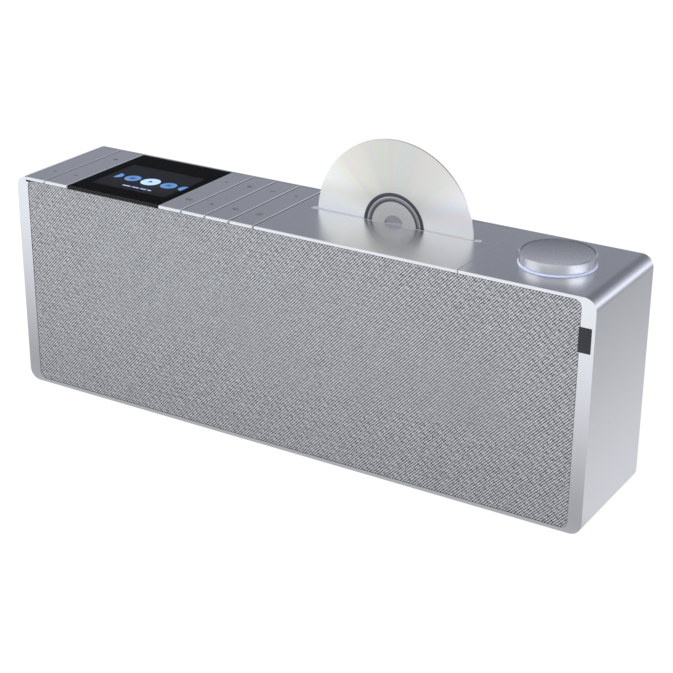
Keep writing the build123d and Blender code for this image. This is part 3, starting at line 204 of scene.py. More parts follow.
class Look(Nodes):
    """A material, with a principled shader to fill in."""

    def __init__(self, name, **settings):
        self.material = bpy.data.materials.new(name)
        self.material.use_nodes = True
        super().__init__(self.material.node_tree)
        self.shader = self.tree.nodes["Principled BSDF"]
        for socket, value in settings.items():
            self.shader.inputs[socket.replace("_", " ")].default_value = value
        self.place = self.node("ShaderNodeTexCoord").outputs["Object"]

    def noise(self, size, detail=2.0, stretch=(1, 1, 1)):
        """Noise whose lumps are about size metres across."""
        mapping = self.node("ShaderNodeMapping")
        mapping.inputs["Scale"].default_value = stretch
        self.link(self.place, mapping.inputs["Vector"])
        made = self.node("ShaderNodeTexNoise")
        made.inputs["Scale"].default_value = 1 / size
        made.inputs["Detail"].default_value = detail
        self.link(mapping.outputs["Vector"], made.inputs["Vector"])
        return made.outputs["Fac"]

    def ribs(self, axis, pitch):
        """Straight ribs that follow each other along an axis, pitch metres apart."""
        made = self.node("ShaderNodeTexWave", bands_direction=axis)
        made.inputs["Scale"].default_value = WAVE_TURN / pitch
        self.link(self.place, made.inputs["Vector"])
        return made.outputs["Fac"]

    def ramp(self, factor, *stops):
        """Colours along a factor, from (position, colour) stops."""
        made = self.node("ShaderNodeValToRGB")
        elements = made.color_ramp.elements
        while len(elements) < len(stops):
            elements.new(0.5)
        for element, (position, colour) in zip(elements, stops):
            element.position = position
            element.color = (*colour, 1)
        self.link(factor, made.inputs["Fac"])
        return made.outputs["Color"]

    def spread(self, factor, low, high):
        """A factor from 0 to 1 turned into a value from low to high."""
        made = self.node("ShaderNodeMapRange")
        self.link(factor, made.inputs["Value"])
        made.inputs["To Min"].default_value = low
        made.inputs["To Max"].default_value = high
        return made.outputs["Result"]

    def mix(self, factor, first, second):
        made = self.node("ShaderNodeMix", data_type="RGBA")
        colours = [socket for socket in made.inputs if socket.type == "RGBA"]
        self.link(factor, made.inputs["Factor"])
        self.link(first, colours[0])
        self.link(second, colours[1])
        return next(socket for socket in made.outputs if socket.type == "RGBA")

    def colour(self, source):
        self.link(source, self.shader.inputs["Base Color"])

    def roughness(self, source):
        self.link(source, self.shader.inputs["Roughness"])

    def bump(self, height, distance):
        made = self.node("ShaderNodeBump")
        made.inputs["Distance"].default_value = distance
        made.inputs["Strength"].default_value = 1.0
        self.link(height, made.inputs["Height"])
        self.link(made.outputs["Normal"], self.shader.inputs["Normal"])

    def polar(self, middle, first_axis, second_axis):
        """Distance from a line through middle, and the angle round it, across the two named axes."""
        parts = dict(zip("XYZ", self.axes(self.vectors("SUBTRACT", self.place, middle))))
        first, second = parts[first_axis], parts[second_axis]
        squares = [self.maths("MULTIPLY", part, part) for part in (first, second)]
        return self.maths("SQRT", self.maths("ADD", *squares)), self.maths("ARCTAN2", second, first)


def grey(level):
    return (level, level, level)


# ---- Materials ----
def aluminium():
    """Satin anodised aluminium: a fine blasted grain and faint cloudy changes of gloss."""
    look = Look("aluminium_satin", Metallic=1.0)
    grain = look.noise(ALUMINIUM_GRAIN, 3)
    clouds = look.noise(30 * MM)
    look.colour(look.ramp(grain, *ALUMINIUM_TONES))
    look.roughness(look.spread(clouds, *ALUMINIUM_ROUGHNESS))
    look.bump(grain, ALUMINIUM_RELIEF)
    return look.material


def key_aluminium(key):
    """The same finish, with the key's right-hand edge broken by a fine bevel that catches the light."""
    edge_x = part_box(key)[1].x - KEY_CHAMFER
    look = Look(f"{key}_aluminium", Metallic=1.0)
    x, _, _ = look.axes(look.place)
    grain = look.noise(ALUMINIUM_GRAIN, 3)
    look.colour(look.ramp(grain, *ALUMINIUM_TONES))
    look.roughness(look.spread(grain, *ALUMINIUM_ROUGHNESS))
    inward = look.maths("SUBTRACT", edge_x, x)
    slope = look.maths("MULTIPLY", look.maths("MINIMUM", inward, KEY_BEVEL), KEY_BEVEL_SLOPE)
    look.bump(look.maths("MULTIPLY_ADD", grain, ALUMINIUM_RELIEF, slope), 1.0)
    return look.material


def turned_aluminium():
    """The knob: satin aluminium with faint turning marks round its axis, its top very slightly dished."""
    look = Look("turned_aluminium", Metallic=1.0)
    away, _ = look.polar(KNOB_MIDDLE, "X", "Y")
    marks = look.node("ShaderNodeTexNoise", noise_dimensions="1D")
    marks.inputs["Scale"].default_value = 1 / (0.4 * MM)
    look.link(away, marks.inputs["W"])
    grain = marks.outputs["Fac"]
    look.colour(look.ramp(grain, (0.3, (0.775, 0.782, 0.805)), (0.7, (0.825, 0.832, 0.855))))
    look.roughness(look.spread(grain, 0.25, 0.30))
    dish = look.maths("MULTIPLY", look.maths("MULTIPLY", away, away), KNOB_DISH)
    look.bump(look.maths("MULTIPLY_ADD", grain, 0.006 * MM, dish), 1.0)
    return look.material


def metal(name, colour, roughness, grain_size=0.6 * MM, stretch=(1, 1, 1)):
    """Bare metal with a grain, which stretch can draw out into brushing."""
    look = Look(name, Metallic=1.0)
    grain = look.noise(grain_size, 3, stretch)
    light = tuple(min(1, part * 1.08) for part in colour)
    dark = tuple(part * 0.88 for part in colour)
    look.colour(look.ramp(grain, (0.3, dark), (0.7, light)))
    look.roughness(look.spread(grain, roughness - 0.05, roughness + 0.06))
    look.bump(grain, 0.01 * MM)
    return look.material


def moulded(name, colour, roughness, texture=0.5 * MM):
    """Moulded plastic or rubber with a spark-eroded texture."""
    look = Look(name)
    grain = look.noise(texture, 3)
    clouds = look.noise(18 * MM)
    light = tuple(part * 1.25 for part in colour)
    look.colour(look.mix(clouds, (*colour, 1), (*light, 1)))
    look.roughness(look.spread(grain, roughness - 0.06, roughness + 0.06))
    look.bump(grain, 0.03 * MM)
    return look.material


def gloss_paint():
    """Black paint round the display, with a trace of orange peel."""
    look = Look("bezel_paint", Specular_IOR_Level=0.2)
    peel = look.noise(2 * MM, 1)
    look.colour(look.ramp(peel, (0.3, grey(0.006)), (0.7, grey(0.009))))
    look.roughness(look.spread(peel, 0.22, 0.28))
    look.bump(peel, 0.004 * MM)
    return look.material


def dark_glass():
    """Smoked display glass, evenly tinted."""
    look = Look("display_glass", IOR=1.06, Transmission_Weight=1.0)
    smears = look.noise(24 * MM)
    look.colour(look.ramp(smears, (0.3, (0.60, 0.62, 0.66)), (0.7, (0.63, 0.65, 0.69))))
    look.roughness(look.spread(smears, 0.015, 0.03))
    return look.material


def clear_lens():
    """The optical sled's lens, faintly blue."""
    look = Look("lens_glass", IOR=1.5, Transmission_Weight=1.0)
    tint = look.noise(3 * MM, 1)
    look.colour(look.ramp(tint, (0.3, (0.80, 0.86, 1.0)), (0.7, (0.86, 0.90, 1.0))))
    look.roughness(0.02)
    return look.material


def light_guide():
    """The lit ring under the knob: milky plastic glowing bluish white."""
    look = Look("light_guide", Emission_Strength=0.36)
    haze = look.noise(4 * MM, 1)
    glow = look.ramp(haze, (0.3, (0.55, 0.61, 0.80)), (0.7, (0.61, 0.66, 0.84)))
    look.colour(glow)
    look.link(glow, look.shader.inputs["Emission Color"])
    look.roughness(look.spread(haze, 0.3, 0.4))
    return look.material


DISC_RADIUS = 60 * MM
METAL_FROM = 0.285        # shares of the disc's radius
DATA_FROM = 0.39
STREAK_CIRCLE = 1.7       # radius of the circle walked through the noise: a larger one gives more streaks of painted sheen
STREAK_DRIFT = 0.10       # how far a streak's colour moves along the ramp from the hub to the rim


def disc_surface():
    """A silver disc by radius: grey hub, stacking ring, a mirror ring painted dark as a painted reflection,
    and a data band with painted diffraction sheen in pale colours, made brighter and darker by angle as a
    painted reflection.
    """
    look = Look("disc_silver")
    away, angle = look.polar(DISC_MIDDLE, "X", "Z")
    share = look.maths("DIVIDE", away, DISC_RADIUS)
    wheel = look.node("ShaderNodeTexNoise", noise_dimensions="2D")
    wheel.inputs["Scale"].default_value = 1.0
    wheel.inputs["Detail"].default_value = 1.0
    spoke = look.node("ShaderNodeCombineXYZ")
    look.link(look.maths("MULTIPLY", look.maths("COSINE", angle), STREAK_CIRCLE), spoke.inputs["X"])
    look.link(look.maths("MULTIPLY", look.maths("SINE", angle), STREAK_CIRCLE), spoke.inputs["Y"])
    look.link(spoke.outputs["Vector"], wheel.inputs["Vector"])
    # the data band's pale colour streaks are painted diffraction sheen, fixed to the disc
    streak = look.maths("ADD", wheel.outputs["Fac"], look.maths("MULTIPLY", share, STREAK_DRIFT))
    painted_rainbow_sheen = look.ramp(
        streak,
        (0.34, (0.96, 1.02, 1.00)), (0.43, (1.01, 1.01, 0.97)), (0.50, (1.03, 0.97, 0.96)),
        (0.57, (0.97, 0.99, 1.03)), (0.64, (1.03, 1.01, 0.95)), (0.74, (0.98, 1.02, 1.00)),
    )
    # painted reflection: by angle round the disc, the data band is brighter to the left and right and
    # darker above and below
    painted_reflection_fan = look.ramp(
        look.maths("DIVIDE", look.maths("ABSOLUTE", angle), math.pi),
        (0.05, (0.95, 0.97, 0.98)), (0.25, (0.68, 0.68, 0.66)), (0.42, (0.63, 0.605, 0.59)),
        (0.58, (0.62, 0.63, 0.59)), (0.75, (0.75, 0.74, 0.69)), (0.92, (0.97, 0.99, 1.0)),
    )
    band = look.vectors("MULTIPLY", painted_reflection_fan, painted_rainbow_sheen)
    # rings by radius; the mirror ring's dark colour is a painted reflection
    rings = look.ramp(
        share,
        (0.0, grey(0.42)), (0.280, grey(0.46)), (0.290, grey(0.10)), (0.310, grey(0.12)),
        (0.318, grey(0.75)), (0.338, grey(0.75)), (0.346, (0.075, 0.077, 0.09)),
        (0.385, (0.085, 0.085, 0.10)), (0.395, grey(1.0)), (1.0, grey(1.0)),
    )
    data = look.maths("GREATER_THAN", share, DATA_FROM)
    look.colour(look.mix(data, rings, band))
    lustre = look.maths("MULTIPLY", look.maths("GREATER_THAN", share, METAL_FROM), 0.75)
    look.link(lustre, look.shader.inputs["Metallic"])
    tracks = look.noise(0.3 * MM)
    look.roughness(look.spread(tracks, 0.22, 0.28))
    return look.material


def weave_height(look):
    """The weave's height from 0 to 1, from the same waves as the mesh."""
    x, _, z = look.axes(look.place)
    across = look.maths("DIVIDE", x, WEAVE_REPEAT[0])
    up = look.maths("DIVIDE", z, WEAVE_REPEAT[1])
    total = 0.0
    for turns_x, turns_z, share, phase in WEAVE_WAVES:
        turns_across = look.maths("MULTIPLY", across, turns_x)
        turns_up = look.maths("MULTIPLY", up, turns_z)
        turns = look.maths("ADD", look.maths("ADD", turns_across, turns_up), phase)
        wave = look.maths("COSINE", look.maths("MULTIPLY", turns, 2 * math.pi))
        total = look.maths("ADD", total, look.maths("MULTIPLY", wave, share))
    return look.maths("MULTIPLY_ADD", total, -0.5 / WEAVE_TOTAL, 0.5)


def grille_fabric():
    """Speaker cloth: pale ribs, with the low gaps between them painted dark as painted shade in the weave's
    hollows, and uneven, fine yarn.
    """
    look = Look("grille_fabric", Sheen_Weight=0.15)
    height = weave_height(look)
    yarn = look.noise(YARN, 3)
    slub = look.noise(SLUB)
    # colour by the weave's height: the low gaps are painted shade; the yarn and slub noise are the yarn's
    # own uneven tone
    shade = look.maths("ADD", height, look.spread(yarn, -0.08, 0.08))
    shade = look.maths("ADD", shade, look.spread(slub, -0.30, 0.30))
    look.colour(look.ramp(
        shade,
        (0.16, grey(0.035)), (0.37, grey(0.15)), (0.52, (0.34, 0.348, 0.366)), (0.76, (0.63, 0.642, 0.67)),
    ))
    look.roughness(look.spread(yarn, 0.75, 0.9))
    look.bump(look.maths("ADD", height, look.maths("MULTIPLY", yarn, 0.4)), 0.12 * MM)
    return look.material


def tag_fabric():
    """Charcoal woven label with a fine rib, its rib valleys painted darker as painted shade."""
    look = Look("tag_fabric", Sheen_Weight=0.2)
    ribs = look.ribs("Z", 0.23675 * MM)
    yarn = look.noise(0.3 * MM, 3)
    shade = look.maths("MULTIPLY", look.maths("ADD", ribs, yarn), 0.5)
    # darker in the rib valleys as painted shade; the yarn noise is random tone
    look.colour(look.ramp(shade, (0.2, (0.010, 0.011, 0.014)), (0.8, (0.045, 0.047, 0.055))))
    look.roughness(0.85)
    look.bump(shade, 0.05 * MM)
    return look.material


def soft_fibre(name, colour, size=0.4 * MM):
    """Felt or pressed paper."""
    look = Look(name, Sheen_Weight=0.1)
    fibre = look.noise(size, 4, (1, 3, 1))
    light = tuple(part * 1.6 for part in colour)
    look.colour(look.ramp(fibre, (0.3, colour), (0.7, light)))
    look.roughness(look.spread(fibre, 0.85, 0.97))
    look.bump(fibre, 0.08 * MM)
    return look.material


def circuit_board():
    """Green solder mask with paler lines across it."""
    look = Look("board_green", Coat_Weight=0.3, Coat_Roughness=0.2)
    cells = look.node("ShaderNodeTexBrick")
    cells.inputs["Scale"].default_value = 1 / (12 * MM)
    cells.inputs["Mortar Size"].default_value = 0.04
    cells.inputs["Color1"].default_value = (0.006, 0.075, 0.028, 1)
    cells.inputs["Color2"].default_value = (0.008, 0.090, 0.034, 1)
    cells.inputs["Mortar"].default_value = (0.020, 0.150, 0.060, 1)
    turned = look.node("ShaderNodeMapping")
    turned.inputs["Rotation"].default_value = (math.pi / 2, 0, 0)
    look.link(look.place, turned.inputs["Vector"])
    look.link(turned.outputs["Vector"], cells.inputs["Vector"])
    look.colour(cells.outputs["Color"])
    look.roughness(look.spread(look.noise(3 * MM), 0.35, 0.45))
    return look.material


def wound_copper():
    """Voice coil wire, in fine turns along its axis, painted darker between the turns as painted shade."""
    look = Look("coil_copper", Metallic=1.0)
    turns = look.ribs("Y", 0.19729 * MM)
    # painted shade: each turn lighter on its crest and darker in the groove between turns
    look.colour(look.ramp(turns, (0.2, (0.55, 0.24, 0.11)), (0.8, (0.85, 0.45, 0.24))))
    look.roughness(0.3)
    look.bump(turns, 0.03 * MM)
    return look.material


def printed(name, colour, glow=0.0):
    """Ink on a key, or a lit shape on the screen."""
    look = Look(name)
    speckle = look.noise(0.5 * MM)
    dim = tuple(part * 0.9 for part in colour)
    tone = look.ramp(speckle, (0.3, dim), (0.7, colour))
    look.colour(tone)
    if glow:
        look.link(tone, look.shader.inputs["Emission Color"])
        look.shader.inputs["Emission Strength"].default_value = glow
    look.roughness(look.spread(speckle, 0.45, 0.6))
    return look.material


SLOT_LOOKS = {
    "aluminium_satin": aluminium(),
    "steel_sheet": metal("steel_sheet", (0.58, 0.59, 0.60), 0.42, 3 * MM, (1, 1, 6)),
    "steel_bright": metal("steel_bright", (0.66, 0.66, 0.66), 0.20),
    "motor_steel": metal("motor_steel", (0.50, 0.50, 0.51), 0.32),
    "magnet": metal("magnet", (0.055, 0.055, 0.060), 0.6),
    "black_plastic": moulded("black_plastic", (0.016, 0.016, 0.018), 0.52),
    "bezel_paint": gloss_paint(),
    "display_glass": dark_glass(),
    "lens_glass": clear_lens(),
    "light_guide": light_guide(),
    "grille_fabric": grille_fabric(),
    "tag_fabric": tag_fabric(),
    "felt": soft_fibre("felt", (0.010, 0.010, 0.012)),
    "rubber_black": moulded("rubber_black", (0.014, 0.014, 0.014), 0.75, 0.8 * MM),
    "cone_paper": soft_fibre("cone_paper", (0.030, 0.030, 0.033), 1.2 * MM),
    "coil_copper": wound_copper(),
    "board_green": circuit_board(),
    "disc_silver": disc_surface(),
}
TURNED_NODES = ("knob_dial", "knob_cap")
KEY_NODES = tuple(f"key_{number}" for number in range(1, 7))


def paint_nodes():
    """Every CAD node takes the look of its slot in the record, but for the knob and the keys."""
    own_looks = dict.fromkeys(TURNED_NODES, turned_aluminium())
    own_looks.update({node: key_aluminium(node) for node in KEY_NODES})
    for part in frame["record"]["subparts"]:
        mesh = frame["nodes"][part["node"]].data
        mesh.materials.clear()
        mesh.materials.append(own_looks.get(part["node"], SLOT_LOOKS[part["material_slot"]]))


# ---- Mesh helpers ----
def mesh_piece(name, points, faces, look, body):
    mesh = bpy.data.meshes.new(name)
    mesh.from_pydata(points, [], faces)
    mesh.update()
    mesh.materials.append(look)
    piece = bpy.data.objects.new(name, mesh)
    bpy.context.scene.collection.objects.link(piece)
    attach(piece, body)
    return piece


def flat_shapes(name, outlines, base_z, thickness, look, body):
    """Thin raised shapes from (x, y) outlines, all in one piece, lying on a level surface."""
    points, faces = [], []
    for outline in outlines:
        count, first = len(outline), len(points)
        points += [(x, y, base_z) for x, y in outline]
        points += [(x, y, base_z + thickness) for x, y in outline]
        faces.append([first + index for index in reversed(range(count))])
        faces.append([first + count + index for index in range(count)])
        for index in range(count):
            after = (index + 1) % count
            faces.append([first + index, first + after, first + count + after, first + count + index])
    return mesh_piece(name, points, faces, look, body)


def circle(x, y, radius, start=0.0, end=360.0, steps=40):
    """Points of a circle, or of an arc between two angles in degrees."""
    turns = np.radians(np.linspace(start, end, steps, endpoint=end - start < 360))
    return [(x + radius * math.cos(turn), y + radius * math.sin(turn)) for turn in turns]


def bar(x, y, width, depth):
    return [(x - width / 2, y - depth / 2), (x + width / 2, y - depth / 2),
            (x + width / 2, y + depth / 2), (x - width / 2, y + depth / 2)]


def arrow(x, y, size, side):
    """A triangle pointing left, where side is -1, or right, where it is 1."""
    back, tip = x - side * size * 0.6, x + side * size * 0.8
    return [(back, y - size), (tip, y), (back, y + size)][::side]


# ---- Grille ----
def weave_value(x, z):
    """The weave's height at points on the grille, from -1 to 1."""
    total = np.zeros_like(x)
    for turns_x, turns_z, share, phase in WEAVE_WAVES:
        turns = turns_x * x / WEAVE_REPEAT[0] + turns_z * z / WEAVE_REPEAT[1] + phase
        total -= share * np.cos(2 * math.pi * turns)
    return total / WEAVE_TOTAL


def rounded(x, z, half_w, half_h, radius):
    """Points of a rectangle's grid moved so that its corners are round."""
    a = np.clip((np.abs(x) - (half_w - radius)) / radius, 0, 1)
    b = np.clip((np.abs(z) - (half_h - radius)) / radius, 0, 1)
    corner = (a > 0) & (b > 0)
    new_x = np.sign(x) * (half_w - radius + radius * a * np.sqrt(1 - b * b / 2))
    new_z = np.sign(z) * (half_h - radius + radius * b * np.sqrt(1 - a * a / 2))
    return np.where(corner, new_x, x), np.where(corner, new_z, z)


def woven_sheet(name, lo, hi, steps, corner, relief, height_at, look):
    """A cloth in the XZ plane between two corners, with raised threads and its edge folded back."""
    middle = (lo + hi) / 2
    half_w, half_h = (hi.x - lo.x) / 2, (hi.z - lo.z) / 2
    columns, rows = steps
    across = np.linspace(FOLD_W - half_w, half_w - FOLD_W, columns - 1)
    up = np.linspace(FOLD_W - half_h, half_h - FOLD_W, rows - 1)
    x, z = np.meshgrid([-half_w, *across, half_w], [-half_h, *up, half_h])
    x, z = rounded(x, z, half_w, half_h, corner)
    x, z = x + middle.x, z + middle.z
    y = lo.y + relief * (1 - height_at(x, z)) / 2
    border = np.zeros_like(x, bool)
    border[0, :] = border[-1, :] = True
    border[:, 0] = border[:, -1] = True
    y[border] = hi.y
    points = np.stack([x, y, z], axis=-1).reshape(-1, 3)
    index = np.arange(points.shape[0]).reshape(rows + 1, columns + 1)
    corners = [index[:-1, :-1], index[:-1, 1:], index[1:, 1:], index[1:, :-1]]
    faces = np.stack(corners, axis=-1).reshape(-1, 4)
    piece = mesh_piece(name, points.tolist(), faces.tolist(), look, "case")
    piece.data.shade_smooth()
    return piece


def make_grille(tag):
    """The speaker cloth, stretched over its frame."""
    lo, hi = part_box("grille_cloth")
    lo, hi = lo - CLOTH_SPREAD, hi + CLOTH_SPREAD
    size = hi - lo
    columns = round(size.x / WEAVE_REPEAT[0] * WEAVE_STEPS)
    rows = round(size.z / WEAVE_REPEAT[1] * WEAVE_STEPS)
    steps = (columns, rows)
    cloth = woven_sheet("grille_weave", lo, hi, steps, GRILLE_CORNER, WEAVE_RELIEF, weave_value,
                        SLOT_LOOKS["grille_fabric"])
    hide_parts("grille_cloth")


# ---- Tag ----
TAG_RIB = 0.8 * MM
TAG_RELIEF = 0.08 * MM
TAG_STEPS = (34, 84)      # mesh cells across and up
TAG_CORNER = 0.3 * MM


def tag_value(x, z):
    """The tag's height, from -1 to 1: ribs whose threads cross over and under."""
    return np.cos(2 * math.pi * z / TAG_RIB) * np.cos(math.pi * x / TAG_RIB)


def make_tag():
    """The label sewn to the cloth's edge."""
    lo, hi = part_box("grille_tag")
    tag = woven_sheet("tag_weave", lo, hi, TAG_STEPS, TAG_CORNER, TAG_RELIEF, tag_value,
                      SLOT_LOOKS["tag_fabric"])
    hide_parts("grille_tag")
    return tag


# ---- Key marks ----
MARK_T = 0.04 * MM
MARK_SIZE = 2.2 * MM      # half the height of a mark
MARK_FRONT_Y = -23.5 * MM
MARK_REAR_Y = 22.8 * MM


def dot(x, y):
    return [circle(x, y, MARK_SIZE * 0.5)]


def dash(x, y):
    return [bar(x, y, MARK_SIZE * 2, MARK_SIZE * 0.5)]


def plus(x, y):
    return [*dash(x, y), bar(x, y, MARK_SIZE * 0.5, MARK_SIZE * 2)]


def square(x, y):
    return [bar(x, y, MARK_SIZE * 1.6, MARK_SIZE * 1.6)]


def two_bars(x, y):
    return [bar(x + side * MARK_SIZE * 0.5, y, MARK_SIZE * 0.5, MARK_SIZE * 2) for side in (-1, 1)]


def one_arrow(x, y):
    return [arrow(x, y, MARK_SIZE, 1)]


def back_arrows(x, y):
    return [arrow(x + side * MARK_SIZE * 0.6, y, MARK_SIZE, -1) for side in (-1, 1)]


def forward_arrows(x, y):
    return [arrow(x + side * MARK_SIZE * 0.6, y, MARK_SIZE, 1) for side in (-1, 1)]


# each key's front and rear mark
KEY_MARKS = {
    "key_1": (dot, None),
    "key_2": (dash, plus),
    "key_3": (back_arrows, dot),
    "key_4": (one_arrow, square),
    "key_5": (forward_arrows, dash),
    "key_6": (two_bars, dot),
}


def key_marks():
    """One or two small generic marks on each key."""
    ink = printed("key_ink", (0.16, 0.163, 0.175))
    for key, marks in KEY_MARKS.items():
        lo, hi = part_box(key)
        x = (lo.x + hi.x) / 2
        for where, y, mark in zip(("front", "rear"), (MARK_FRONT_Y, MARK_REAR_Y), marks):
            if mark:
                flat_shapes(f"mark_{key}_{where}", mark(x, y), TOP_Z, MARK_T, ink, key)


# ---- Lips at the mouth of the disc slot ----
MOUTH_LEFT = -8.7 * MM
MOUTH_RIGHT = 123.3 * MM
MOUTH_WIDTH = 5.0 * MM
LIP_TOP = TOP_Z - 0.25 * MM
LIP_T = 0.6 * MM
LIP_GAP = 0.05 * MM       # between the lips and the mouth's edge
LIP_STEPS = 9             # points of each quarter turn
LIP_END = 0.94            # share of the round ends' radius that the end pieces reach into
DISC_CLEARANCE = 0.25 * MM


def slot_lips():
    """Pale fibre lips that close the slot's mouth on both sides of the disc and past its edges."""
    radius = MOUTH_WIDTH / 2 - LIP_GAP
    y = DISC_MIDDLE.y
    gap = (disc_hi.y - disc_lo.y) / 2 + DISC_CLEARANCE
    tilt = math.degrees(math.asin(gap / radius))
    left, right = MOUTH_LEFT + MOUTH_WIDTH / 2, MOUTH_RIGHT - MOUTH_WIDTH / 2
    front = circle(left, y, radius, 180 + tilt, 270, LIP_STEPS)
    front += circle(right, y, radius, 270, 360 - tilt, LIP_STEPS)
    rear = circle(right, y, radius, tilt, 90, LIP_STEPS)
    rear += circle(left, y, radius, 90, 180 - tilt, LIP_STEPS)
    end_spans = (
        (left - radius * LIP_END, disc_lo.x - 2 * DISC_CLEARANCE),
        (disc_hi.x + 2 * DISC_CLEARANCE, right + radius * LIP_END),
    )
    ends = [bar((start + end) / 2, y, end - start, 2 * gap) for start, end in end_spans]
    look = soft_fibre("slot_lip_fibre", (0.42, 0.425, 0.44))
    flat_shapes("slot_lips", [front, rear, *ends], LIP_TOP - LIP_T, LIP_T, look, "case")


# ---- Screen ----
SCREEN_T = 0.05 * MM
SCREEN_INSET = 1.0 * MM
SCREEN_SHIFT = 3.1 * MM   # of the row and the text, to the right of the panel's middle
SCREEN_ROW_Y = -5.0 * MM
SCREEN_PITCH = 16.2 * MM
SCREEN_CIRCLE = 6.2 * MM
SCREEN_MIDDLE_CIRCLE = 7.4 * MM
SCREEN_END_CIRCLE = SCREEN_CIRCLE * 0.8
SCREEN_END_SHIFT = 2.0 * MM
GLYPH_ARROW = 2.4 * MM
GLYPH_BAR = (4.5 * MM, 0.8 * MM)
GLYPH_PITCH = 1.5 * MM
TEXT_FRONT = 7.5 * MM     # from the panel's front edge
TEXT_DEPTH = 1.3 * MM
TEXT_BARS = ((-9.5, 7), (-1.5, 6), (5.5, 5), (11, 3))   # (middle, width) of each word, in millimetres


def make_screen():
    """A lit row of round menu buttons over a line of text bars, just above the panel."""
    lit = printed("screen_bright", (0.55, 0.72, 1.0), 0.9)
    dim = printed("screen_blue", (0.13, 0.30, 0.62), 0.8)
    ink = printed("screen_glyph", (0.05, 0.09, 0.20))
    back = printed("screen_back", (0.006, 0.006, 0.008), 0.4)
    centre = (lcd_lo + lcd_hi) / 2
    middle_x, y = centre.x + SCREEN_SHIFT, SCREEN_ROW_Y
    base_z = lcd_hi.z + SCREEN_T
    row_z = base_z + 2 * SCREEN_T
    glyph_z = row_z + 2 * SCREEN_T

    width, depth = lcd_hi.x - lcd_lo.x - 2 * SCREEN_INSET, lcd_hi.y - lcd_lo.y - 2 * SCREEN_INSET
    panel = [bar(centre.x, centre.y, width, depth)]
    flat_shapes("screen_backlight", panel, base_z, SCREEN_T, back, "case")

    middle = [circle(middle_x, y, SCREEN_MIDDLE_CIRCLE)]
    flat_shapes("screen_middle_button", middle, row_z, SCREEN_T, lit, "case")
    sides = [circle(middle_x + step * SCREEN_PITCH, y, SCREEN_CIRCLE) for step in (-1, 1)]
    end_x = 2 * SCREEN_PITCH - SCREEN_END_SHIFT
    ends = [circle(middle_x - end_x, y, SCREEN_END_CIRCLE, -90, 90),
            circle(middle_x + end_x, y, SCREEN_END_CIRCLE, 90, 270)]
    flat_shapes("screen_side_buttons", sides + ends, row_z, SCREEN_T, dim, "case")

    glyphs = [arrow(middle_x, y, GLYPH_ARROW, 1)]
    glyphs += [bar(middle_x + side * SCREEN_PITCH, y + row * GLYPH_PITCH, *GLYPH_BAR)
               for side in (-1, 1) for row in (-1, 0, 1)]
    flat_shapes("screen_glyphs", glyphs, glyph_z, SCREEN_T, ink, "case")

    text_y = lcd_lo.y + TEXT_FRONT
    words = [bar(middle_x + place * MM, text_y, width * MM, TEXT_DEPTH) for place, width in TEXT_BARS]
    flat_shapes("screen_text_bars", words, row_z, SCREEN_T, lit, "case")


# ---- Disc rings ----
def turned_ring(name, profile, middle, look, body, steps=160):
    """A ring round a line along Y, from (radius, y) points, closed round the profile."""
    points, faces = [], []
    count = len(profile)
    for step in range(steps):
        turn = 2 * math.pi * step / steps
        points += [(middle.x + r * math.cos(turn), y, middle.z + r * math.sin(turn)) for r, y in profile]
    for step in range(steps):
        first, after = step * count, (step + 1) % steps * count
        for index in range(count):
            following = (index + 1) % count
            faces.append([first + index, first + following, after + following, after + index])
    piece = mesh_piece(name, points, faces, look, body)
    piece.data.shade_smooth()
    return piece


STACKING_RADIUS = 19.4 * MM
STACKING_HALF = 0.7 * MM
STACKING_RISE = 0.12 * MM


def disc_rings():
    """The raised stacking ring on the disc's front."""
    arc = [(STACKING_RADIUS + STACKING_HALF * math.cos(turn), disc_lo.y - STACKING_RISE * math.sin(turn))
           for turn in np.linspace(0, math.pi, 9)]
    ring_look = metal("disc_ring", (0.30, 0.30, 0.33), 0.25)
    turned_ring("disc_stacking_ring", arc, DISC_MIDDLE, ring_look, "disc")


# ---- Lights, floor and camera ----
def softbox(name, place, target, size, power):
    light = bpy.data.lights.new(name, "AREA")
    light.shape = "RECTANGLE"
    light.size, light.size_y = size
    light.energy = power
    lamp = bpy.data.objects.new(name, light)
    lamp.location = place
    lamp.rotation_euler = (Vector(target) - Vector(place)).to_track_quat("-Z", "Y").to_euler()
    lamp.visible_camera = False
    lamp.visible_glossy = False
    bpy.context.scene.collection.objects.link(lamp)


def lobe(studio, direction, azimuth, height, inner, outer, strength):
    """A soft-edged round patch of light, by its direction and angles in degrees."""
    turn, lift = math.radians(azimuth), math.radians(height)
    aim = (math.cos(turn) * math.cos(lift), math.sin(turn) * math.cos(lift), math.sin(lift))
    facing = studio.vectors("DOT_PRODUCT", direction, aim, "Value")
    edge = (math.cos(math.radians(outer)), math.cos(math.radians(inner)))
    return studio.stepped(facing, edge, (0.0, strength))


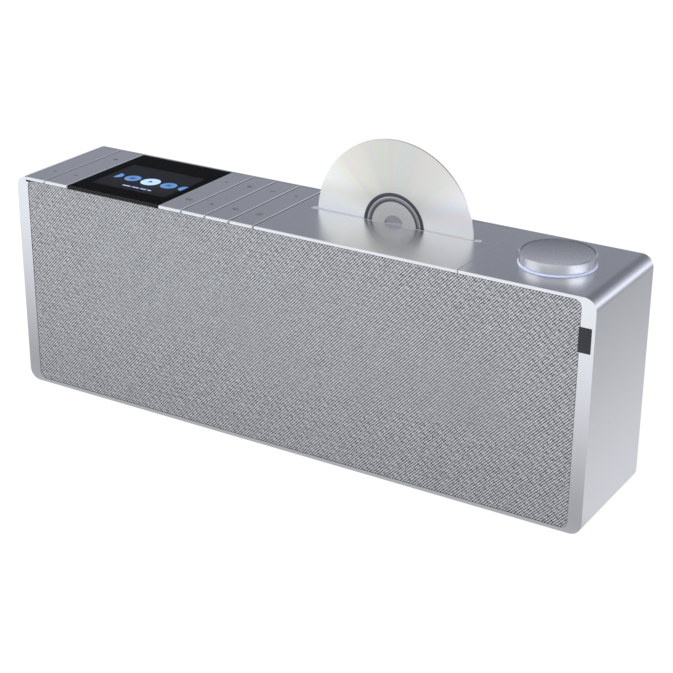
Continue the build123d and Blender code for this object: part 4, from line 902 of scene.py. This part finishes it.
def make_world():
    """White to the camera. What the metal reflects is a studio with a dim back, a pale horizon
    and two soft lights."""
    world = bpy.data.worlds.new("studio")
    bpy.context.scene.world = world
    world.use_nodes = True
    studio = Nodes(world.node_tree)
    seen = studio.tree.nodes["Background"]
    seen.inputs["Color"].default_value = (1, 1, 1, 1)
    direction = studio.node("ShaderNodeTexCoord").outputs["Generated"]
    x, y, z = studio.axes(direction)
    wall = studio.stepped(x, BACK_SIDES, (BACK_LEFT, BACK_RIGHT))
    wall = studio.stepped(z, BACK_RISE, (wall, BACK_HIGH))
    horizon = studio.stepped(z, HORIZON_RISE, (BACK_HORIZON, 0.0))
    low = studio.stepped(z, GLOW_RISE, (BACK_GLOW, 0.0))
    glow = studio.maths("MULTIPLY", low, studio.stepped(x, GLOW_SIDE, (0.0, 1.0)))
    back = studio.maths("ADD", studio.maths("ADD", wall, horizon), glow)
    behind = studio.stepped(y, FRONT_TO_BACK, (0.0, back))
    front = studio.stepped(y, FRONT_TO_BACK, (FRONT_LEVEL, 0.0))
    for light in SOFT_LIGHTS:
        front = studio.maths("ADD", front, lobe(studio, direction, *light))
    reflected = studio.node("ShaderNodeBackground")
    total = studio.vectors("ADD", studio.tinted(front, COOL_TINT), studio.tinted(behind, BACK_TINT))
    studio.link(total, reflected.inputs["Color"])
    surface = studio.tree.nodes["World Output"].inputs["Surface"]
    studio.shown(seen.outputs["Background"], reflected.outputs["Background"], surface)


def make_floor():
    """A white floor. What the metal reflects of it is darker close to the front, and darker some way
    out on the right."""
    floor = Look("floor_paper", Roughness=0.9, Specular_IOR_Level=0.0, Emission_Color=(1, 1, 1, 1),
                 Emission_Strength=1 - 0.5 * FLOOR_SHADE)
    x, y, _ = floor.axes(floor.place)
    front = floor.stepped(y, (case_lo.y - FLOOR_REACH, case_lo.y), (FLOOR_FAR, FLOOR_NEAR))
    right = floor.stepped(x, (case_hi.x, case_hi.x + FLOOR_RIGHT_REACH), (RIGHT_NEAR, RIGHT_FAR))
    right = floor.stepped(x, (case_hi.x + BEYOND_FROM, case_hi.x + BEYOND_TO), (right, RIGHT_BEYOND))
    level = floor.stepped(y, (case_lo.y + FLOOR_TURN[0], case_lo.y + FLOOR_TURN[1]), (front, right))
    glow = floor.node("ShaderNodeEmission")
    floor.link(floor.tinted(level, COOL_TINT), glow.inputs["Color"])
    fibre = floor.noise(4 * MM)
    floor.colour(floor.ramp(fibre, (0.3, grey(FLOOR_SHADE)), (0.7, grey(FLOOR_SHADE * 1.04))))
    surface = floor.tree.nodes["Material Output"].inputs["Surface"]
    floor.shown(floor.shader.outputs["BSDF"], glow.outputs["Emission"], surface)

    mesh = bpy.data.meshes.new("floor")
    corners = [(-FLOOR_HALF, -FLOOR_HALF, 0), (FLOOR_HALF, -FLOOR_HALF, 0),
               (FLOOR_HALF, FLOOR_HALF, 0), (-FLOOR_HALF, FLOOR_HALF, 0)]
    mesh.from_pydata(corners, [], [(0, 1, 2, 3)])
    mesh.materials.append(floor.material)
    plane = bpy.data.objects.new("floor", mesh)
    bpy.context.scene.collection.objects.link(plane)


def make_camera():
    right = CAMERA_FORWARD.cross(Vector((0, 0, 1))).normalized()
    up = right.cross(CAMERA_FORWARD).normalized()
    rolled_right = right * math.cos(CAMERA_ROLL) + up * math.sin(CAMERA_ROLL)
    rolled_up = up * math.cos(CAMERA_ROLL) - right * math.sin(CAMERA_ROLL)
    data = bpy.data.cameras.new("camera")
    data.lens = CAMERA_LENS
    data.clip_start = 0.01
    camera = bpy.data.objects.new("camera", data)
    turned = Matrix((rolled_right, rolled_up, -CAMERA_FORWARD.normalized())).transposed().to_4x4()
    camera.matrix_world = Matrix.Translation(CAMERA_PLACE) @ turned
    bpy.context.scene.collection.objects.link(camera)
    bpy.context.scene.camera = camera


make_camera()
make_world()
make_floor()
for box in SOFTBOXES:
    softbox(*box)
bpy.context.scene.view_settings.view_transform = "Standard"
paint_nodes()
make_grille(make_tag())
key_marks()
slot_lips()
make_screen()
disc_rings()
